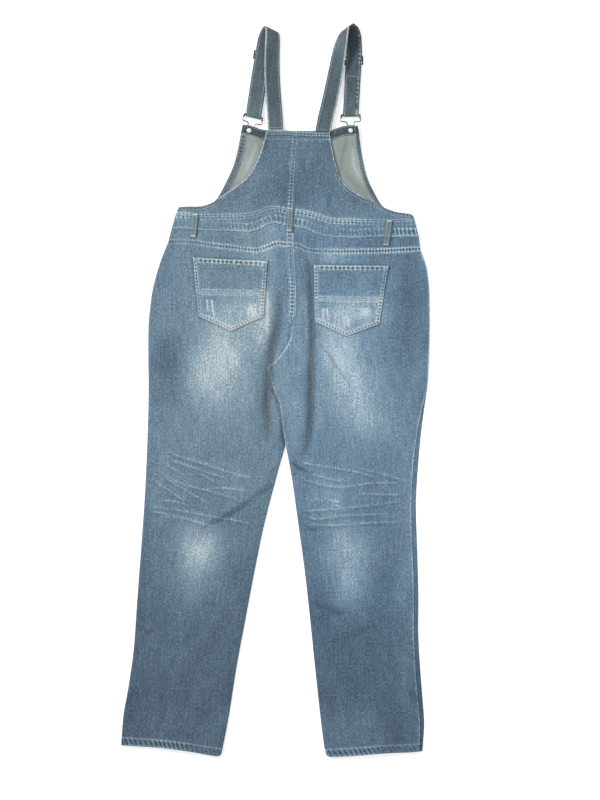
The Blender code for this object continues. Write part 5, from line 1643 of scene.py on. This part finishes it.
def bent_wire(name, plan, diameter, look, cyclic=True):
    """A round wire at the bar's height along points in plan, in millimetres."""
    made = new_primitive(name, bpy.ops.mesh.primitive_circle_add, vertices=len(plan), radius=1,
                         fill_type="NOTHING")
    for vert, (x, y) in zip(made.data.vertices, plan):
        vert.co = Vector((x, y, BAR_HEIGHT)) * MM
    if not cyclic:
        select_only(made)
        bpy.ops.object.mode_set(mode="EDIT")
        bpy.ops.mesh.select_mode(type="EDGE")
        bpy.ops.mesh.select_all(action="DESELECT")
        bpy.ops.object.mode_set(mode="OBJECT")
        for item in made.data.edges:
            item.select = set(item.vertices) == {0, len(plan) - 1}
        bpy.ops.object.mode_set(mode="EDIT")
        bpy.ops.mesh.delete(type="EDGE")
        bpy.ops.object.mode_set(mode="OBJECT")
    select_only(made)
    bpy.ops.object.convert(target="CURVE")
    made.data.bevel_depth = diameter / 2 * MM
    made.data.bevel_resolution = 4
    made.data.use_fill_caps = not cyclic
    bpy.ops.object.convert(target="MESH")
    bpy.ops.object.mode_set(mode="EDIT")
    bpy.ops.mesh.select_all(action="SELECT")
    bpy.ops.mesh.remove_doubles(threshold=0.01 * MM)
    bpy.ops.mesh.normals_make_consistent(inside=False)
    bpy.ops.object.mode_set(mode="OBJECT")
    made.data.shade_smooth()
    made.data.materials.clear()
    made.data.materials.append(look)
    return made


class DUNGAREES_OT_buckles(bpy.types.Operator):
    """Bend the buckles' wire: a wide bar for the strap and a keyhole that hooks over the button."""

    bl_idname = "dungarees.buckles"
    bl_label = "Wire buckles"

    def execute(self, context):
        half = smooth_run(BUCKLE_WIRE, 1.3)
        ring = np.vstack([half, half[::-1][1:-1] * np.array([-1, 1])])
        corner = half[(half[:, 0] > 14.2) & (half[:, 1] > 24)]
        for side in BUTTONS:
            made = bent_wire(f"buckle_{side}_wire", ring, WIRE, finish("wire metal"))
            for way, look in SLEEVE_LOOKS.items():
                plan = corner * np.array([way, 1])
                sleeve = bent_wire(f"sleeve_{side}", plan, SLEEVE, finish(look), cyclic=False)
                select_only(made, sleeve)
                bpy.ops.object.join()
            placed(made, buckle_place(side, 0, 0), BUCKLE_TURN[side])
            fitted(made, f"buckle_{side}")
        return {"FINISHED"}


class DUNGAREES_OT_sliders(bpy.types.Operator):
    """Stamp the strap sliders: a flat frame with a middle bar."""

    bl_idname = "dungarees.sliders"
    bl_label = "Strap sliders"

    def execute(self, context):
        width, length, thick = SLIDER_SIZE
        bar = SLIDER_BAR / 2
        window = (width / 2 - SLIDER_BAR, length / 2 - SLIDER_BAR)
        xs = [-width / 2, -window[0], window[0], width / 2]
        ys = [-length / 2, -window[1], -bar, bar, window[1], length / 2]
        for side in BUTTONS:
            made = new_primitive(f"slider_{side}_frame", bpy.ops.mesh.primitive_grid_add, x_subdivisions=3,
                                 y_subdivisions=5, size=1)
            for vert in made.data.vertices:
                i, j = round((vert.co.x + 0.5) * 3), round((vert.co.y + 0.5) * 5)
                vert.co = Vector((xs[i], ys[j], 0)) * MM
            for face in made.data.polygons:
                x, y = abs(face.center.x / MM), abs(face.center.y / MM)
                face.select = x < window[0] / 2 and bar < y < window[1]
            select_only(made)
            context.tool_settings.mesh_select_mode = (False, False, True)
            bpy.ops.object.mode_set(mode="EDIT")
            bpy.ops.mesh.delete(type="FACE")
            bpy.ops.mesh.select_all(action="SELECT")
            bpy.ops.mesh.extrude_region_move(TRANSFORM_OT_translate={"value": (0, 0, thick * MM)})
            close_edit()
            bevel = made.modifiers.new("bevel", "BEVEL")
            bevel.width = 0.5 * MM
            bevel.segments = 3
            bevel.limit_method = "ANGLE"
            select_only(made)
            bpy.ops.object.modifier_apply(modifier=bevel.name)
            middle, way = slider_place(side)
            placed(made, middle, degrees(atan2(way[1], way[0])))
            shaded(made, finish("dark metal"), 50)
            fitted(made, f"slider_{side}")
        return {"FINISHED"}


class DUNGAREES_OT_buttons(bpy.types.Operator):
    """Turn the bib buttons: cap, post and the round tack back that shows on the bib's wrong side."""

    bl_idname = "dungarees.buttons"
    bl_label = "Bib buttons"

    def execute(self, context):
        tack = LIFTED + WALL + LAID_GAP + FACING_THICK + SEAM_GAP
        rings = [  # radius and height
            (CAP_RADIUS - 1.6, 0), (CAP_RADIUS - 0.5, 0.2), (CAP_RADIUS, 0.8), (CAP_RADIUS, 1.5),
            (CAP_RADIUS - 0.6, CAP_THICK), (POST_RADIUS + 1, CAP_THICK), (POST_RADIUS, CAP_THICK + 0.4),
            (POST_RADIUS, tack - 0.2), (TACK_RADIUS - 0.3, tack), (TACK_RADIUS, tack + 0.25),
            (TACK_RADIUS - 0.2, tack + 0.55), (TACK_RADIUS - 1.1, tack + 0.9),
            (TACK_RADIUS - 1.8, tack + 0.8), (TACK_RADIUS - 2.6, tack + 1.05),
            (TACK_RADIUS - 3.9, tack + 1.15),
        ]
        for side, centre in BUTTONS.items():
            made = new_primitive(f"bib_button_{side}_metal", bpy.ops.mesh.primitive_circle_add, vertices=40,
                                 radius=rings[0][0] * MM, fill_type="NGON")
            select_only(made)
            bpy.ops.object.mode_set(mode="EDIT")
            bpy.ops.mesh.select_all(action="SELECT")
            for (r0, z0), (r1, z1) in zip(rings, rings[1:]):
                bpy.ops.mesh.extrude_region_move(TRANSFORM_OT_translate={"value": (0, 0, (z1 - z0) * MM)})
                bpy.ops.transform.resize(value=(r1 / r0, r1 / r0, 1))
            close_edit()
            placed(made, centre, 0)
            shaded(made, finish("tack metal"), 42)
            fitted(made, f"bib_button_{side}")
        return {"FINISHED"}


# Topstitching


class DUNGAREES_OT_stitching(bpy.types.Operator):
    """Sew the rows of topstitching, the bartacks and the frayed nicks."""

    bl_idname = "dungarees.stitching"
    bl_label = "Topstitching"

    def execute(self, context):
        settings = context.scene.dungarees_cloth
        sewn = [item for item in bpy.data.objects
                if item.name.endswith("_cloth") and "strap" not in item.name]
        height = top_of(*sewn)
        sewing = (settings.thread / 2, settings.pitch, settings.gap, finish("thread"))
        for name, rows in seam_rows().items():
            runs = [laid(shifted(resampled(row.run[:, :2], 4.0), row.offset), height) for row in rows]
            threads(f"stitches_{name}", runs, *sewing)
        loops = [laid(shifted(np.array([row.head, row.foot], float), offset), height)
                 for row in BELT_LOOPS for offset in (-3.3, 3.3)]
        threads("stitches_belt_loops", loops, *sewing)
        for side, strap in STRAP_RUNS.items():
            threads(f"stitches_strap_{side}", strap_rows(side, *strap), *sewing, "dark_denim")
        tacks = []
        for x, y, turn, length in BARTACKS:
            way = np.array([cos(radians(turn)), sin(radians(turn))]) * length / 2
            across = np.array([-way[1], way[0]]) / (length / 2)
            for shift in (-0.7, 0, 0.7):
                ends = np.array([(x, y) - way + across * shift, (x, y) + way + across * shift])
                tacks.append(laid(ends, height, 0.1))
        threads("bartacks", tacks, sewing[0] * 1.1, 1.7, 0.3, finish("white yarn"))
        nicks = []
        for (x0, y0), (x1, y1) in (*NICKS["left"], *NICKS["right"]):
            for k, share in ((-0.9, 0.9), (0, 1.0), (0.9, 0.85)):
                t = np.linspace(0, share, 7)[:, None]
                wobble = np.stack([0.35 * np.sin(9 * t[:, 0] + x0 + k), np.zeros(7)], axis=1)
                yarn = np.array([x0 + k, y0]) + np.array([x1 - x0, y1 - y0]) * t + wobble
                nicks.append(laid(yarn, height, 0.1))
        threads("frayed_nicks", nicks, 0.5, 4.2, 0.3, finish("white yarn"))
        return {"FINISHED"}


def seam_rows():
    """The rows of topstitching on the panels, by the piece that carries them."""
    groups = {
        "legs": [
            Row(SEAT, -1.6), Row(UPPER_SEAT, -8.4), Row(extended(LEFT_HEM, 0, 7), 15.4),
            Row(extended(RIGHT_HEM, 7, 0), 15.4),
        ],
        "bodice": [
            *(Row(run, offset) for run in (LEFT_YOKE, RIGHT_YOKE) for offset in (-4, 4)),
            Row(BAND_HEAD, 1.9), Row(BAND_HEAD, -2.4), Row(BAND_FOOT, 1.9), Row(LEFT_ARM_FOOT, 6),
            Row(RIGHT_ARM_FOOT, 6), Row(BIB_CENTRE, 1.4), Row(BIB_TOP, 2.2), Row(BIB_TOP, 7),
        ],
        "front_bib": [
            Row(FRONT_BIB_TOP, 2.2), Row(FRONT_BIB_TOP, FACING_DEPTH - 1.8), Row(FRONT_ARM_LEFT, 10),
            Row(FRONT_ARM_RIGHT, 7.2),
        ],
    }
    for side in POCKETS:
        first, foot, last, top = pocket_sides(side)
        groups[f"pocket_{side}"] = [
            *(Row(run, offset) for run in (first, last, foot) for offset in (1.6, 7)),
            Row(top, 1.6), Row(top, POCKET_HEM - 1.4), *(Row(row, 0) for row in POCKET_ROWS[side]),
        ]
    return groups


def strap_rows(side, place, middle, across, normal):
    """The rows of stitches on both faces of a strap, and those sewn across it."""
    runs = []
    for face in (1, -1):
        for w in (-1, 1):
            row = middle + across * w * (STRAP_WIDTH / 2 - STRAP_ROW)
            runs.append((row + face * normal * (STRAP_THICK / 2 - 0.2), face * normal))
    for at, face in STRAP_CROSS_ROWS[side]:
        i = int(np.argmin(np.abs(place - at)))
        row = np.linspace(middle[i] - across[i] * 11.5, middle[i] + across[i] * 11.5, 9)
        runs.append((row + face * normal[i] * STRAP_THICK / 2, np.tile(face * normal[i], (9, 1))))
    return runs


# Floor, light and camera


class DUNGAREES_OT_stage(bpy.types.Operator):
    """Set the pale floor, the soft studio light and the camera straight above."""

    bl_idname = "dungarees.stage"
    bl_label = "Floor, light and camera"

    def execute(self, context):
        settings = context.scene.dungarees_stage
        floor = new_primitive("floor", bpy.ops.mesh.primitive_plane_add, size=12, location=(0, 0, 0))
        look = Finish("pale floor", roughness=0.85)
        place = look.node("TexCoord").outputs["Object"]
        shade = look.noise(place, (2.2, 2.2, 2.2), 2.0)
        look.colour(look.ramp(shade, [(0.3, (0.86, 0.865, 0.87)), (0.7, (0.9, 0.9, 0.9))]))
        look.shader.inputs["Emission Color"].default_value = (1, 1, 1, 1)
        look.shader.inputs["Emission Strength"].default_value = settings.glow
        floor.data.materials.append(look.material)
        lamps = (("key", (-2.3, 1.9, 2.1), 1.0, settings.key), ("fill", (2.2, -0.8, 2.8), 2.4, settings.fill))
        for name, spot, size, power in lamps:
            lamp = bpy.data.lights.new(name, "AREA")
            lamp.energy = power
            lamp.size = size
            lamp.shape = "DISK"
            light = bpy.data.objects.new(name, lamp)
            light.location = spot
            light.rotation_euler = (-Vector(spot)).to_track_quat("-Z", "Y").to_euler()
            context.scene.collection.objects.link(light)
        world = bpy.data.worlds.new("studio")
        world.use_nodes = True
        sky = world.node_tree.nodes["Background"]
        sky.inputs["Color"].default_value = (1, 1, 1, 1)
        sky.inputs["Strength"].default_value = settings.sky
        context.scene.world = world
        context.scene.view_settings.view_transform = "Standard"
        lens = bpy.data.cameras.new("camera")
        lens.sensor_fit = "VERTICAL"
        lens.sensor_height = 24
        lens.lens = lens.sensor_height * settings.height / settings.view
        camera = bpy.data.objects.new("camera", lens)
        camera.location = (VIEW_CENTRE.x * MM, VIEW_CENTRE.y * MM, settings.height)
        context.scene.collection.objects.link(camera)
        context.scene.camera = camera
        return {"FINISHED"}


class DUNGAREES_PT_panel(bpy.types.Panel):
    """The dungarees' pieces and settings."""

    bl_idname = "DUNGAREES_PT_panel"
    bl_label = "Dungarees"
    bl_space_type = "VIEW_3D"
    bl_region_type = "UI"
    bl_category = "Dungarees"

    def draw(self, context):
        scene = context.scene
        for group in (scene.dungarees_cloth, scene.dungarees_wash, scene.dungarees_stage):
            box = self.layout.box()
            for key in group.bl_rna.properties.keys():
                if key not in ("rna_type", "name"):
                    box.prop(group, key)
        for step in STEPS:
            self.layout.operator(step.bl_idname)


STEPS = (
    DUNGAREES_OT_front, DUNGAREES_OT_legs, DUNGAREES_OT_bodice, DUNGAREES_OT_pockets, DUNGAREES_OT_belt_loops,
    DUNGAREES_OT_straps, DUNGAREES_OT_buckles, DUNGAREES_OT_sliders, DUNGAREES_OT_buttons,
    DUNGAREES_OT_stitching, DUNGAREES_OT_stage,
)
GROUPS = {"dungarees_cloth": ClothSettings, "dungarees_wash": WashSettings, "dungarees_stage": StageSettings}


def register():
    for item in (*GROUPS.values(), *STEPS, DUNGAREES_PT_panel):
        bpy.utils.register_class(item)
    for name, group in GROUPS.items():
        setattr(bpy.types.Scene, name, PointerProperty(type=group))


def unregister():
    for name in GROUPS:
        delattr(bpy.types.Scene, name)
    for item in reversed((*GROUPS.values(), *STEPS, DUNGAREES_PT_panel)):
        bpy.utils.unregister_class(item)


def main():
    register()
    for step in STEPS:
        group, name = step.bl_idname.split(".")
        getattr(getattr(bpy.ops, group), name)()


if __name__ == "__main__":
    main()
